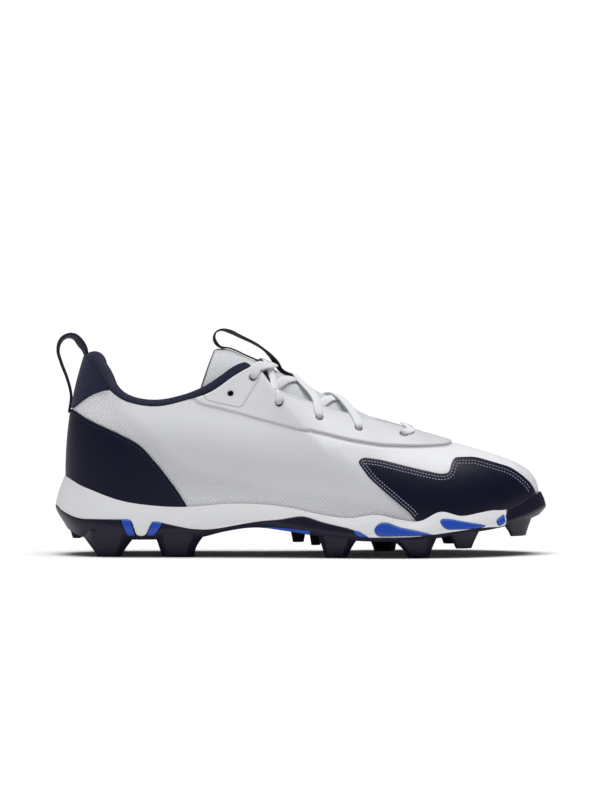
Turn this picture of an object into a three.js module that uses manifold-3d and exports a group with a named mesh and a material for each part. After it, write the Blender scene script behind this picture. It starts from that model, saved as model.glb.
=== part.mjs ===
// A low baseball cleat for the right foot, standing on its moulded studs. Sizes are in millimetres.
// +X points to the toe, +Y to the inner side of the foot and +Z up. The origin is on the floor,
// under the middle of the shoe.
import * as THREE from 'three';
import { mergeVertices } from 'three/addons/utils/BufferGeometryUtils.js';
import Module from 'manifold-3d';

const wasm = await Module();
wasm.setup();

// Driving sizes
const LENGTH = 300; // sole, heel to toe
const BALL_WIDTH = 95; // upper, across the ball of the foot
const HEIGHT = 127; // floor to the top of the tongue
const GAP = 0.3; // between pieces that touch
const WALL = 2.2; // upper
const OVERLAY = 0.9; // toe overlays, heel counter, heel tab and eyestay
const LIP = 1.5; // top edge of the sole's side
const INSERT_DEPTH = 1.2; // coloured inserts, into the sole's side
const INSERT_PROUD = 0.5; // coloured inserts, out of the sole's side
const SIDE_FLARE = 3.9; // sole's side, out from its top edge
const INSOLE = 3.5;
const TONGUE = 5.5; // thickness
const TONGUE_WING = 19; // how far it reaches down inside the upper
const TONGUE_ROOM = 1.8; // between the tongue's sides and the upper or the collar
const COLLAR_ROLL = 5.5; // collar's top over the upper's edge
const COLLAR_PAD = 13; // collar's thickness
const LINING_REACH = 28; // collar lining, down the inside of the upper
const LINING = 2; // lower end of the collar lining
const LINING_ROOM = 1; // between lining and upper
const LACE_WIDTH = 6;
const LACE_THICK = 2;
const TOP_LACE_BOW = 7.5; // how far forward its middle lies
const CROSS_BACK = 0.25; // how far a crossing lace goes back towards the next pair of eyelets
const LACE_ROOM = 0.8; // between laces and tongue
const LACE_LIFT = 3 * GAP + OVERLAY + LACE_THICK / 2; // lace's middle over the upper
const EYELET_RADIUS = 2.1;
const WEB_THICK = 1.2; // pull loops
const HEEL_WEB_WIDTH = 9;
const TONGUE_WEB_WIDTH = 7;
const HEEL_LOOP_HEIGHT = 36.8;
const HEEL_LOOP_BELOW = 26; // its sewn end, below the upper's edge
const TONGUE_LOOP_LENGTH = 48.6;
const STUD_WIDTH = 19; // the widest one, in from the sole's edge
const STUD_EDGE = 1; // from the plan's edge out to a stud's outer face
const STUD_ROOT = 1; // how far a stud goes up into the plate
const STUD_LEAN = 2.5; // tip's outer face, in from the root's
const HEEL_BLADE_WIDTH = 26;
const HEEL_BLADE_LIFT = 10.4; // its lower edge over the floor

// How finely the curved forms are faceted
const TURNS = 50; // columns round the shoe
const CLIMBS = 8; // rows up the upper
const FINE = 0.08; // facets closer to flat than this are joined
const HOLE_SIDES = 6;

// Plan of the upper's bottom edge. at runs along it from heel to toe, centre (towards the inner side)
// and half are shares of BALL_WIDTH, before the ends are rounded.
const PLAN = [
  { at: 0, centre: 0, half: 0.33 },
  { at: 0.1, centre: 0, half: 0.335 },
  { at: 0.2, centre: -0.002, half: 0.345 },
  { at: 0.3, centre: -0.01, half: 0.355 },
  { at: 0.4, centre: -0.022, half: 0.367 },
  { at: 0.5, centre: -0.033, half: 0.4 },
  { at: 0.6, centre: -0.027, half: 0.46 },
  { at: 0.68, centre: -0.01, half: 0.493 },
  { at: 0.75, centre: 0.005, half: 0.495 },
  { at: 0.83, centre: 0.028, half: 0.47 },
  { at: 0.9, centre: 0.05, half: 0.44 },
  { at: 0.96, centre: 0.065, half: 0.4 },
  { at: 1, centre: 0.07, half: 0.37 },
];
const HEEL_BACK = 0.0245; // where the upper starts and ends, as shares of LENGTH
const TOE_FRONT = 0.9905;
const HEEL_ROUND = 0.13; // length of the rounded ends, as shares of the plan
const TOE_ROUND = 0.22;

// Columns of the upper, from the heel's middle (k 0) to the toe's (k 1). at and up place the top edge,
// as shares of LENGTH and HEIGHT, gap is its distance from the middle as a share of BALL_WIDTH.
// rise (share of HEIGHT) and splay lead the wall off the sole; reach (share of HEIGHT) and dip
// (degrees) lead it into the top edge.
const COLUMNS = [
  { k: 0, at: 0.0605, gap: 0, up: 0.965, rise: 0.28, splay: 0.05, reach: 0.28, dip: 72 },
  { k: 0.06, at: 0.0625, gap: 0.089, up: 0.963, rise: 0.28, splay: 0.05, reach: 0.28, dip: 72 },
  { k: 0.12, at: 0.073, gap: 0.168, up: 0.95, rise: 0.27, splay: 0.05, reach: 0.26, dip: 74 },
  { k: 0.18, at: 0.0885, gap: 0.226, up: 0.894, rise: 0.25, splay: 0.05, reach: 0.24, dip: 76 },
  { k: 0.24, at: 0.1082, gap: 0.274, up: 0.812, rise: 0.22, splay: 0.06, reach: 0.2, dip: 78 },
  { k: 0.3, at: 0.1449, gap: 0.313, up: 0.752, rise: 0.2, splay: 0.07, reach: 0.18, dip: 78 },
  { k: 0.36, at: 0.2041, gap: 0.334, up: 0.728, rise: 0.2, splay: 0.07, reach: 0.18, dip: 76 },
  { k: 0.42, at: 0.2653, gap: 0.335, up: 0.757, rise: 0.2, splay: 0.06, reach: 0.2, dip: 72 },
  { k: 0.47, at: 0.3204, gap: 0.325, up: 0.802, rise: 0.22, splay: 0.05, reach: 0.24, dip: 68 },
  { k: 0.51, at: 0.3633, gap: 0.312, up: 0.872, rise: 0.23, splay: 0.04, reach: 0.28, dip: 63 },
  { k: 0.54, at: 0.3898, gap: 0.298, up: 0.908, rise: 0.24, splay: 0.04, reach: 0.3, dip: 59 },
  { k: 0.565, at: 0.4082, gap: 0.28, up: 0.923, rise: 0.25, splay: 0.04, reach: 0.32, dip: 55 },
  { k: 0.59, at: 0.4224, gap: 0.256, up: 0.867, rise: 0.25, splay: 0.04, reach: 0.32, dip: 51 },
  { k: 0.62, at: 0.4531, gap: 0.227, up: 0.807, rise: 0.25, splay: 0.04, reach: 0.32, dip: 46 },
  { k: 0.67, at: 0.5122, gap: 0.189, up: 0.752, rise: 0.24, splay: 0.04, reach: 0.33, dip: 38 },
  { k: 0.72, at: 0.5816, gap: 0.156, up: 0.696, rise: 0.23, splay: 0.04, reach: 0.34, dip: 31 },
  { k: 0.78, at: 0.6531, gap: 0.126, up: 0.653, rise: 0.22, splay: 0.04, reach: 0.37, dip: 25 },
  { k: 0.84, at: 0.7, gap: 0.1, up: 0.622, rise: 0.21, splay: 0.04, reach: 0.4, dip: 21 },
  { k: 0.9, at: 0.7286, gap: 0.074, up: 0.602, rise: 0.2, splay: 0.04, reach: 0.44, dip: 18 },
  { k: 0.95, at: 0.7429, gap: 0.042, up: 0.593, rise: 0.2, splay: 0.04, reach: 0.47, dip: 17 },
  { k: 1, at: 0.749, gap: 0, up: 0.588, rise: 0.2, splay: 0.04, reach: 0.48, dip: 17 },
];

// Side view of the sole, at along LENGTH: the footbed, the top edge of the side and the underside,
// as shares of HEIGHT.
const SOLE = [
  { at: 0, footbed: 0.209, lip: 0.405, under: 0.16 },
  { at: 0.025, footbed: 0.207, lip: 0.38, under: 0.125 },
  { at: 0.05, footbed: 0.203, lip: 0.347, under: 0.096 },
  { at: 0.08, footbed: 0.2, lip: 0.318, under: 0.088 },
  { at: 0.13, footbed: 0.2, lip: 0.276, under: 0.085 },
  { at: 0.2, footbed: 0.197, lip: 0.25, under: 0.085 },
  { at: 0.26, footbed: 0.198, lip: 0.244, under: 0.09 },
  { at: 0.3, footbed: 0.2, lip: 0.249, under: 0.098 },
  { at: 0.34, footbed: 0.2, lip: 0.258, under: 0.122 },
  { at: 0.41, footbed: 0.2, lip: 0.259, under: 0.145 },
  { at: 0.47, footbed: 0.196, lip: 0.246, under: 0.13 },
  { at: 0.54, footbed: 0.18, lip: 0.212, under: 0.104 },
  { at: 0.6, footbed: 0.166, lip: 0.194, under: 0.087 },
  { at: 0.66, footbed: 0.155, lip: 0.21, under: 0.081 },
  { at: 0.7, footbed: 0.15, lip: 0.19, under: 0.081 },
  { at: 0.745, footbed: 0.15, lip: 0.181, under: 0.086 },
  { at: 0.785, footbed: 0.156, lip: 0.224, under: 0.098 },
  { at: 0.83, footbed: 0.168, lip: 0.203, under: 0.114 },
  { at: 0.865, footbed: 0.182, lip: 0.216, under: 0.125 },
  { at: 0.89, footbed: 0.194, lip: 0.23, under: 0.133 },
  { at: 0.92, footbed: 0.208, lip: 0.244, under: 0.146 },
  { at: 0.945, footbed: 0.222, lip: 0.272, under: 0.16 },
  { at: 0.97, footbed: 0.238, lip: 0.288, under: 0.176 },
  { at: 1, footbed: 0.262, lip: 0.31, under: 0.2 },
];
// Section of the sole's side: drop runs from its top edge to its bottom one, flare is a share of
// SIDE_FLARE.
const SIDE = [
  { drop: 0, flare: 0 },
  { drop: 0.12, flare: 0.308 },
  { drop: 0.4, flare: 0.872 },
  { drop: 0.75, flare: 1 },
  { drop: 1, flare: -0.385 },
];
// How much of that flare there is, from the heel's middle (k 0) to the toe's (k 1)
const FLARE = [
  { k: 0, share: 1.2 },
  { k: 0.3, share: 0.9 },
  { k: 0.5, share: 0.6 },
  { k: 0.7, share: 0.65 },
  { k: 0.85, share: 0.5 },
  { k: 1, share: 0.6 },
];

// Parting line of midsole (above) and outsole (below) in the side view, shares of LENGTH and HEIGHT
const PARTING = [
  { at: -0.1, up: 0.3 },
  { at: 0, up: 0.245 },
  { at: 0.01, up: 0.222 },
  { at: 0.03, up: 0.198 },
  { at: 0.05, up: 0.184 },
  { at: 0.155, up: 0.184 },
  { at: 0.166, up: 0.103 },
  { at: 0.184, up: 0.103 },
  { at: 0.198, up: 0.176 },
  { at: 0.22, up: 0.167 },
  { at: 0.255, up: 0.149 },
  { at: 0.275, up: 0.14 },
  { at: 0.306, up: 0.135 },
  { at: 0.337, up: 0.142 },
  { at: 0.388, up: 0.166 },
  { at: 0.42, up: 0.178 },
  { at: 0.46, up: 0.186 },
  { at: 0.5, up: 0.203 },
  { at: 0.516, up: 0.198 },
  { at: 0.54, up: 0.178 },
  { at: 0.572, up: 0.159 },
  { at: 0.602, up: 0.145 },
  { at: 0.635, up: 0.101 },
  { at: 0.72, up: 0.104 },
  { at: 0.75, up: 0.108 },
  { at: 0.79, up: 0.12 },
  { at: 0.83, up: 0.133 },
  { at: 0.865, up: 0.143 },
  { at: 0.89, up: 0.151 },
  { at: 0.917, up: 0.165 },
  { at: 0.923, up: 0.45 },
  { at: 1.1, up: 0.45 },
  { at: 1.1, up: -0.1 },
  { at: -0.1, up: -0.1 },
];

// Coloured inserts of the sole's side, each an outline in the side view
const INSERTS = {
  heel_rear: [
    { at: 0.133, up: 0.183 },
    { at: 0.153, up: 0.183 },
    { at: 0.163, up: 0.104 },
    { at: 0.147, up: 0.104 },
  ],
  heel_front: [
    { at: 0.198, up: 0.174 },
    { at: 0.22, up: 0.168 },
    { at: 0.202, up: 0.104 },
    { at: 0.186, up: 0.104 },
  ],
  ball_rear: [
    { at: 0.608, up: 0.137 },
    { at: 0.618, up: 0.133 },
    { at: 0.639, up: 0.104 },
    { at: 0.624, up: 0.102 },
    { at: 0.612, up: 0.116 },
  ],
  ball_leaf: [
    { at: 0.651, up: 0.135 },
    { at: 0.655, up: 0.154 },
    { at: 0.665, up: 0.173 },
    { at: 0.678, up: 0.173 },
    { at: 0.704, up: 0.149 },
    { at: 0.735, up: 0.135 },
    { at: 0.773, up: 0.113 },
    { at: 0.672, up: 0.108 },
    { at: 0.659, up: 0.108 },
  ],
  front_leaf: [
    { at: 0.786, up: 0.178 },
    { at: 0.79, up: 0.19 },
    { at: 0.806, up: 0.188 },
    { at: 0.837, up: 0.173 },
    { at: 0.882, up: 0.154 },
    { at: 0.863, up: 0.142 },
    { at: 0.802, up: 0.14 },
    { at: 0.792, up: 0.154 },
  ],
  toe: [
    { at: 0.902, up: 0.183 },
    { at: 0.912, up: 0.203 },
    { at: 0.915, up: 0.172 },
    { at: 0.903, up: 0.166 },
  ],
};

// Studs. from, to, tipFrom and tipTo run along LENGTH; width and tipWidth, shares of STUD_WIDTH, go in
// from the sole's edge on the outer (side -1) or the inner side (1); lift, a share of HEIGHT, is the
// tip's height over the floor.
const STUDS = [
  { side: -1, from: 0.057, to: 0.159, tipFrom: 0.086, tipTo: 0.135, width: 1, tipWidth: 0.47, lift: 0 },
  { side: 1, from: 0.057, to: 0.159, tipFrom: 0.086, tipTo: 0.135, width: 1, tipWidth: 0.47, lift: 0 },
  { side: -1, from: 0.206, to: 0.304, tipFrom: 0.218, tipTo: 0.284, width: 0.95, tipWidth: 0.47, lift: 0 },
  { side: 1, from: 0.206, to: 0.304, tipFrom: 0.218, tipTo: 0.284, width: 0.95, tipWidth: 0.47, lift: 0 },
  { side: -1, from: 0.537, to: 0.616, tipFrom: 0.551, tipTo: 0.596, width: 0.9, tipWidth: 0.47, lift: 0 },
  { side: 1, from: 0.478, to: 0.514, tipFrom: 0.485, tipTo: 0.508, width: 0.6, tipWidth: 0.3, lift: 0.047 },
  { side: 1, from: 0.517, to: 0.549, tipFrom: 0.523, tipTo: 0.542, width: 0.6, tipWidth: 0.3, lift: 0.031 },
  { side: -1, from: 0.7, to: 0.78, tipFrom: 0.72, tipTo: 0.763, width: 0.9, tipWidth: 0.47, lift: 0 },
  { side: 1, from: 0.639, to: 0.704, tipFrom: 0.653, tipTo: 0.696, width: 0.9, tipWidth: 0.47, lift: 0 },
  { side: -1, from: 0.804, to: 0.867, tipFrom: 0.818, tipTo: 0.851, width: 0.8, tipWidth: 0.4, lift: 0.043 },
  { side: 1, from: 0.782, to: 0.847, tipFrom: 0.796, tipTo: 0.829, width: 0.8, tipWidth: 0.4, lift: 0.035 },
  { side: -1, from: 0.918, to: 0.975, tipFrom: 0.931, tipTo: 0.963, width: 0.6, tipWidth: 0.3, lift: 0.095 },
  { side: 1, from: 0.918, to: 0.975, tipFrom: 0.931, tipTo: 0.963, width: 0.6, tipWidth: 0.3, lift: 0.095 },
];

// Outlines of the overlays in the side view, both sides alike
const TAB = [
  { at: 0.02, up: 0.723 },
  { at: 0.051, up: 0.757 },
  { at: 0.071, up: 0.786 },
  { at: 0.092, up: 0.802 },
  { at: 0.122, up: 0.807 },
  { at: 0.135, up: 1.1 },
  { at: -0.1, up: 1.1 },
  { at: -0.1, up: 0.715 },
];
const COUNTER = [
  { at: -0.1, up: 0.71 },
  { at: 0.035, up: 0.71 },
  { at: 0.051, up: 0.694 },
  { at: 0.092, up: 0.641 },
  { at: 0.133, up: 0.593 },
  { at: 0.165, up: 0.554 },
  { at: 0.18, up: 0.525 },
  { at: 0.214, up: 0.434 },
  { at: 0.255, up: 0.304 },
  { at: 0.28, up: 0.2 },
  { at: -0.1, up: 0.2 },
];
const EYESTAY = [
  { at: 0.276, up: 0.761 },
  { at: 0.337, up: 0.728 },
  { at: 0.418, up: 0.675 },
  { at: 0.5, up: 0.622 },
  { at: 0.582, up: 0.575 },
  { at: 0.622, up: 0.554 },
  { at: 0.663, up: 0.54 },
  { at: 0.745, up: 0.532 },
  { at: 0.79, up: 0.532 },
  { at: 0.8, up: 0.7 },
  { at: 0.6, up: 1.1 },
  { at: 0.27, up: 1.1 },
];
const TOE_OVERLAY = [
  { at: 0.617, up: 0.463 },
  { at: 0.628, up: 0.484 },
  { at: 0.665, up: 0.472 },
  { at: 0.704, up: 0.448 },
  { at: 0.745, up: 0.424 },
  { at: 0.786, up: 0.402 },
  { at: 0.804, up: 0.406 },
  { at: 0.81, up: 0.455 },
  { at: 0.816, up: 0.477 },
  { at: 0.857, up: 0.477 },
  { at: 0.9, up: 0.447 },
  { at: 0.931, up: 0.424 },
  { at: 0.955, up: 0.385 },
  { at: 0.975, up: 0.34 },
  { at: 0.985, up: 0.28 },
  { at: 0.985, up: 0.1 },
  { at: 0.76, up: 0.1 },
  { at: 0.725, up: 0.217 },
  { at: 0.704, up: 0.258 },
  { at: 0.663, up: 0.34 },
  { at: 0.643, up: 0.381 },
];

// Eyelets, ankle first: k of the column they are in, how far they are down it from the upper's edge (a
// share of BALL_WIDTH), and k of the place where a lace from them comes over that edge. The first one
// is not laced.
const EYELETS = [
  { k: 0.494, below: 0.08, edge: 0.5 },
  { k: 0.543, below: 0.068, edge: 0.572 },
  { k: 0.557, below: 0.3, edge: 0.612 },
  { k: 0.651, below: 0.216, edge: 0.685 },
  { k: 0.701, below: 0.253, edge: 0.74 },
  { k: 0.778, below: 0.217, edge: 0.85 },
];

// Padded collar, from the heel (k 0) to its front corner: its height over the upper's edge, thickness
// and depth inside as shares of COLLAR_ROLL, COLLAR_PAD and LINING_REACH
const COLLAR = [
  { k: 0, roll: 0.545, pad: 1, reach: 1 },
  { k: 0.12, roll: 0.8, pad: 1, reach: 1 },
  { k: 0.18, roll: 1, pad: 0.923, reach: 1 },
  { k: 0.24, roll: 0.909, pad: 0.769, reach: 1 },
  { k: 0.3, roll: 0.655, pad: 0.692, reach: 1 },
  { k: 0.42, roll: 0.655, pad: 0.538, reach: 0.9 },
  { k: 0.49, roll: 0.836, pad: 0.423, reach: 0.6 },
  { k: 0.53, roll: 0.655, pad: 0.346, reach: 0.45 },
  { k: 0.556, roll: 0.364, pad: 0.308, reach: 0.35 },
];
// Section of the collar: out is a share of its thickness from the upper's outer face inwards, up a
// share of its height
const ROLL = [
  { out: 0.02, up: 0.45 },
  { out: 0.16, up: 0.85 },
  { out: 0.42, up: 1 },
  { out: 0.75, up: 0.7 },
  { out: 0.97, up: 0 },
];

// Tongue. at and up place the middle line, k is the column of the upper that its side runs along, edge
// and wing are depths below the upper's edge (shares of TONGUE_WING) and thick is a share of TONGUE.
const TONGUE_ROWS = [
  { at: 0.333, up: 1.002, k: 0.45, edge: 0.158, wing: 0.789, thick: 0.8 },
  { at: 0.357, up: 0.992, k: 0.48, edge: 0.263, wing: 0.842, thick: 1 },
  { at: 0.388, up: 0.959, k: 0.515, edge: 0.421, wing: 0.947, thick: 1 },
  { at: 0.42, up: 0.926, k: 0.55, edge: 0.474, wing: 1, thick: 1 },
  { at: 0.46, up: 0.881, k: 0.59, edge: 0.263, wing: 0.895, thick: 1 },
  { at: 0.5, up: 0.832, k: 0.64, edge: 0.132, wing: 0.789, thick: 1 },
  { at: 0.541, up: 0.785, k: 0.68, edge: 0.105, wing: 0.737, thick: 1 },
  { at: 0.582, up: 0.742, k: 0.715, edge: 0.105, wing: 0.684, thick: 1 },
  { at: 0.622, up: 0.694, k: 0.75, edge: 0.105, wing: 0.632, thick: 0.9 },
  { at: 0.663, up: 0.648, k: 0.79, edge: 0.105, wing: 0.632, thick: 0.8 },
  { at: 0.703, up: 0.598, k: 0.84, edge: 0.105, wing: 0.632, thick: 0.7 },
];
// Its front end, under the vamp: depths below the front of the throat, as shares of TONGUE_WING
const TONGUE_FRONT = [
  { middle: 0.105, k: 0.89, edge: 0.105, wing: 0.632, thick: 0.6 },
  { middle: 0.526, k: 0.93, edge: 0.526, wing: 0.842, thick: 0.5 },
  { middle: 1, k: 0.94, edge: 1, wing: 1.158, thick: 0.4 },
];

// Pull loops in the side view, forward and up from where they are sewn on, as shares of
// HEEL_LOOP_HEIGHT and TONGUE_LOOP_LENGTH
const HEEL_LOOP = [
  { forward: 0, up: 0 },
  { forward: -0.065, up: 0.283 },
  { forward: -0.166, up: 0.549 },
  { forward: -0.217, up: 0.747 },
  { forward: -0.198, up: 0.864 },
  { forward: -0.133, up: 0.959 },
  { forward: -0.033, up: 1 },
  { forward: 0.065, up: 0.978 },
  { forward: 0.166, up: 0.864 },
];
const TONGUE_LOOP = [
  { forward: 0, up: 0 },
  { forward: -0.095, up: 0.053 },
  { forward: -0.156, up: 0.136 },
  { forward: -0.218, up: 0.259 },
  { forward: -0.34, up: 0.379 },
  { forward: -0.477, up: 0.453 },
  { forward: -0.654, up: 0.531 },
  { forward: -0.819, up: 0.605 },
  { forward: -0.895, up: 0.617 },
  { forward: -0.969, up: 0.593 },
  { forward: -1, up: 0.533 },
  { forward: -0.988, up: 0.469 },
];
const TONGUE_LOOP_AT = 0.488; // its sewn end, along LENGTH
const TONGUE_SEAT = [0.336, 0.35, 0.365, 0.38, 0.395]; // where it lies on the tongue, along LENGTH

function share(at) {
  return (at - 0.5) * LENGTH;
}

// A smooth line through one column of a table, level at its ends where they are on the middle line
function through(rows, key, column, level = false) {
  const at = rows.map((row) => row[key]);
  const value = rows.map((row) => row[column]);
  const last = rows.length - 1;
  const rate = (i) => (value[i + 1] - value[i]) / (at[i + 1] - at[i]);
  const slope = at.map((_, i) => {
    if (i === 0) return level ? 0 : rate(0);
    if (i === last) return level ? 0 : rate(last - 1);
    const before = at[i] - at[i - 1];
    const after = at[i + 1] - at[i];
    return (rate(i - 1) * after + rate(i) * before) / (before + after);
  });
  return (x) => {
    if (x <= at[0]) return value[0];
    if (x >= at[last]) return value[last];
    const i = at.findIndex((edge) => edge > x) - 1;
    const span = at[i + 1] - at[i];
    const u = (x - at[i]) / span;
    const v = 1 - u;
    return value[i] * v * v * (1 + 2 * u) + value[i + 1] * u * u * (3 - 2 * u)
      + span * u * v * (slope[i] * v - slope[i + 1] * u);
  };
}

const planCentre = through(PLAN, 'at', 'centre');
const planHalf = through(PLAN, 'at', 'half');
const edgeAt = through(COLUMNS, 'k', 'at', true);
const edgeUp = through(COLUMNS, 'k', 'up', true);
const edgeGap = through(COLUMNS, 'k', 'gap');
const riseOf = through(COLUMNS, 'k', 'rise', true);
const splayOf = through(COLUMNS, 'k', 'splay', true);
const reachOf = through(COLUMNS, 'k', 'reach', true);
const dipOf = through(COLUMNS, 'k', 'dip', true);
const footbedOf = through(SOLE, 'at', 'footbed');
const lipOf = through(SOLE, 'at', 'lip');
const underOf = through(SOLE, 'at', 'under');
const sideFlare = through(SIDE, 'drop', 'flare');
const flareShare = through(FLARE, 'k', 'share', true);
const collarRoll = through(COLLAR, 'k', 'roll', true);
const collarPad = through(COLLAR, 'k', 'pad', true);
const collarReach = through(COLLAR, 'k', 'reach', true);

function mix(low, high, part) {
  return low + (high - low) * part;
}

function heightAt(curve, x) {
  return curve(x / LENGTH + 0.5) * HEIGHT;
}

function roundEnd(distance, length) {
  return distance < length ? Math.sqrt(Math.max(0, 1 - (1 - distance / length) ** 2)) : 1;
}

// turn runs once round the shoe: 0 is the heel's middle, 0.5 the toe's, and the outer side comes first
function sideOf(turn) {
  return turn <= 0.5 ? { k: 2 * turn, side: -1 } : { k: 2 - 2 * turn, side: 1 };
}

function planPoint(turn) {
  const { k, side } = sideOf(turn);
  const at = (1 - Math.cos(Math.PI * k)) / 2;
  const half = planHalf(at) * roundEnd(at, HEEL_ROUND) * roundEnd(1 - at, TOE_ROUND);
  const x = share(HEEL_BACK + (TOE_FRONT - HEEL_BACK) * at);
  return new THREE.Vector2(x, (planCentre(at) + side * half) * BALL_WIDTH);
}

function planNormal(turn) {
  const step = 0.002;
  const along = planPoint((turn + step) % 1).sub(planPoint((turn + 1 - step) % 1));
  return new THREE.Vector2(along.y, -along.x).normalize();
}

// The upper's outer face: climb runs from its bottom edge (0) to its top edge (1)
function skin(turn, climb) {
  const { k, side } = sideOf(turn);
  const foot = planPoint(turn);
  const out = planNormal(turn);
  const start = new THREE.Vector3(foot.x, foot.y, heightAt(footbedOf, foot.x));
  const edgeX = share(edgeAt(k));
  const middle = planCentre((edgeX / LENGTH + 0.5 - HEEL_BACK) / (TOE_FRONT - HEEL_BACK)) * BALL_WIDTH;
  const end = new THREE.Vector3(edgeX, middle + side * edgeGap(k) * BALL_WIDTH, edgeUp(k) * HEIGHT);
  const rise = riseOf(k) * HEIGHT;
  const reach = reachOf(k) * HEIGHT;
  const dip = THREE.MathUtils.degToRad(dipOf(k));
  const level = new THREE.Vector3(start.x - end.x, start.y - end.y, 0).normalize();
  const splay = splayOf(k) * rise;
  const low = start.clone().add(new THREE.Vector3(out.x * splay, out.y * splay, rise));
  const high = end.clone().addScaledVector(level, reach * Math.cos(dip));
  high.z -= reach * Math.sin(dip);
  return new THREE.CubicBezierCurve3(start, low, high, end).getPoint(climb);
}

function skinNormal(turn, climb) {
  const step = 0.004;
  const around = skin((turn + step) % 1, climb).sub(skin((turn + 1 - step) % 1, climb));
  const up = skin(turn, Math.min(1, climb + step)).sub(skin(turn, Math.max(0, climb - step)));
  return around.cross(up).normalize();
}

// A point off the upper's outer face, out of it where offset is positive
function offSkin(turn, climb, offset) {
  return skin(turn, climb).addScaledVector(skinNormal(turn, climb), offset);
}

// How far up the upper the top edge of the sole's side lies
function climbAtLip(turn) {
  let low = 0;
  let high = 0.7;
  for (let step = 0; step < 24; step += 1) {
    const middle = (low + high) / 2;
    const point = skin(turn, middle);
    if (point.z < heightAt(lipOf, point.x)) low = middle;
    else high = middle;
  }
  return low;
}

// Gathers points and faces and turns them into a solid
class Shell {
  constructor() {
    this.points = [];
    this.faces = [];
  }

  row(points) {
    return points.map((point) => this.points.push(point.x, point.y, point.z) / 3 - 1);
  }

  quad(a, b, c, d) {
    this.faces.push(a, b, c, a, c, d);
  }

  // The same two facets, seen from behind
  quadBehind(a, b, c, d) {
    this.faces.push(a, c, b, a, d, c);
  }

  // Faces between two rows of points; a closed row ends where it starts
  bridge(lower, upper, closed) {
    const count = lower.length;
    for (let i = 0; i < (closed ? count : count - 1); i += 1) {
      const next = (i + 1) % count;
      this.quad(lower[i], lower[next], upper[next], upper[i]);
    }
  }

  // Fills a ring that goes round the shoe with strips from its outer to its inner side
  fill(ring, facesUp) {
    const count = ring.length;
    for (let i = 0; i < count / 2; i += 1) {
      const outer = [ring[i], ring[i + 1]];
      const inner = [ring[(count - i) % count], ring[count - i - 1]];
      if (facesUp) this.quad(outer[0], outer[1], inner[1], inner[0]);
      else this.quad(inner[0], inner[1], outer[1], outer[0]);
    }
  }

  geometry() {
    const shape = new THREE.BufferGeometry();
    shape.setAttribute('position', new THREE.Float32BufferAttribute(this.points, 3));
    shape.setIndex(this.faces);
    return shape;
  }

  solid() {
    return asSolid(this.geometry());
  }
}

function asSolid(geometry) {
  const bare = geometry.clone();
  bare.deleteAttribute('normal');
  bare.deleteAttribute('uv');
  const merged = mergeVertices(bare, 1e-4);
  const corners = [];
  const index = merged.index.array;
  for (let i = 0; i < index.length; i += 3) {
    const [a, b, c] = index.slice(i, i + 3);
    if (a !== b && b !== c && c !== a) corners.push(a, b, c);
  }
  return new wasm.Manifold(new wasm.Mesh({
    numProp: 3,
    vertProperties: new Float32Array(merged.attributes.position.array),
    triVerts: new Uint32Array(corners),
  }));
}

function asGeometry(solid) {
  const mesh = solid.getMesh();
  const shape = new THREE.BufferGeometry();
  shape.setAttribute('position', new THREE.BufferAttribute(new Float32Array(mesh.vertProperties), 3));
  shape.setIndex(new THREE.BufferAttribute(new Uint32Array(mesh.triVerts), 1));
  shape.computeVertexNormals();
  return shape;
}

// Rings of points, all the same way round, joined into a solid with flat ends
function loft(rings) {
  const shell = new Shell();
  const rows = rings.map((ring) => shell.row(ring));
  for (let i = 1; i < rows.length; i += 1) shell.bridge(rows[i - 1], rows[i], true);
  const first = rows[0];
  const last = rows.at(-1);
  for (let i = 1; i < first.length - 1; i += 1) {
    shell.faces.push(first[0], first[i + 1], first[i]);
    shell.faces.push(last[0], last[i], last[i + 1]);
  }
  return shell.solid();
}

// Rings that go round the shoe, joined into a solid; strips across the shoe close it
function soleShape(rings) {
  const shell = new Shell();
  const rows = rings.map((ring) => shell.row(ring));
  for (let i = 1; i < rows.length; i += 1) shell.bridge(rows[i - 1], rows[i], true);
  shell.fill(rows[0], false);
  shell.fill(rows.at(-1), true);
  return shell.solid();
}

// A solid between an outer and an inner sheet, each a list of rows of points
function slab(outer, inner, closed = false) {
  const shell = new Shell();
  const front = outer.map((row) => shell.row(row));
  const back = inner.map((row) => shell.row(row));
  for (let i = 1; i < front.length; i += 1) {
    shell.bridge(front[i - 1], front[i], closed);
    back[i].forEach((_, j) => {
      const next = (j + 1) % back[i].length;
      if (next || closed) shell.quadBehind(back[i - 1][j], back[i - 1][next], back[i][next], back[i][j]);
    });
    if (!closed) {
      shell.quad(front[i - 1][0], front[i][0], back[i][0], back[i - 1][0]);
      shell.quad(back[i - 1].at(-1), back[i].at(-1), front[i].at(-1), front[i - 1].at(-1));
    }
  }
  shell.bridge(back[0], front[0], closed);
  shell.bridge(front.at(-1), back.at(-1), closed);
  return shell.solid();
}

// An outline in the side view (x, z), taken straight across the shoe between two widths
function prism(outline, from, to) {
  const shape = new THREE.Shape(outline);
  const block = new THREE.ExtrudeGeometry(shape, { depth: to - from, bevelEnabled: false });
  block.rotateX(Math.PI / 2);
  block.translate(0, to, 0);
  return asSolid(block);
}

function sideView(rows) {
  return rows.map((row) => new THREE.Vector2(share(row.at), row.up * HEIGHT));
}

// The same outline with its edges moved out
function grown(outline, distance) {
  const sign = THREE.ShapeUtils.isClockWise(outline) ? -1 : 1;
  const count = outline.length;
  return outline.map((point, i) => {
    const before = point.clone().sub(outline[(i + count - 1) % count]).normalize();
    const after = outline[(i + 1) % count].clone().sub(point).normalize();
    const normal = new THREE.Vector2(before.y + after.y, -before.x - after.x);
    const size = sign * distance / (1 + before.dot(after));
    return point.clone().addScaledVector(normal, size);
  });
}

// The upper's faceted face, moved out by an offset: every piece on it shares its facets
const sheets = new Map();
const turns = Array.from({ length: TURNS }, (_, i) => i / TURNS);
const climbs = Array.from({ length: CLIMBS }, (_, i) => i / (CLIMBS - 1));

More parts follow.
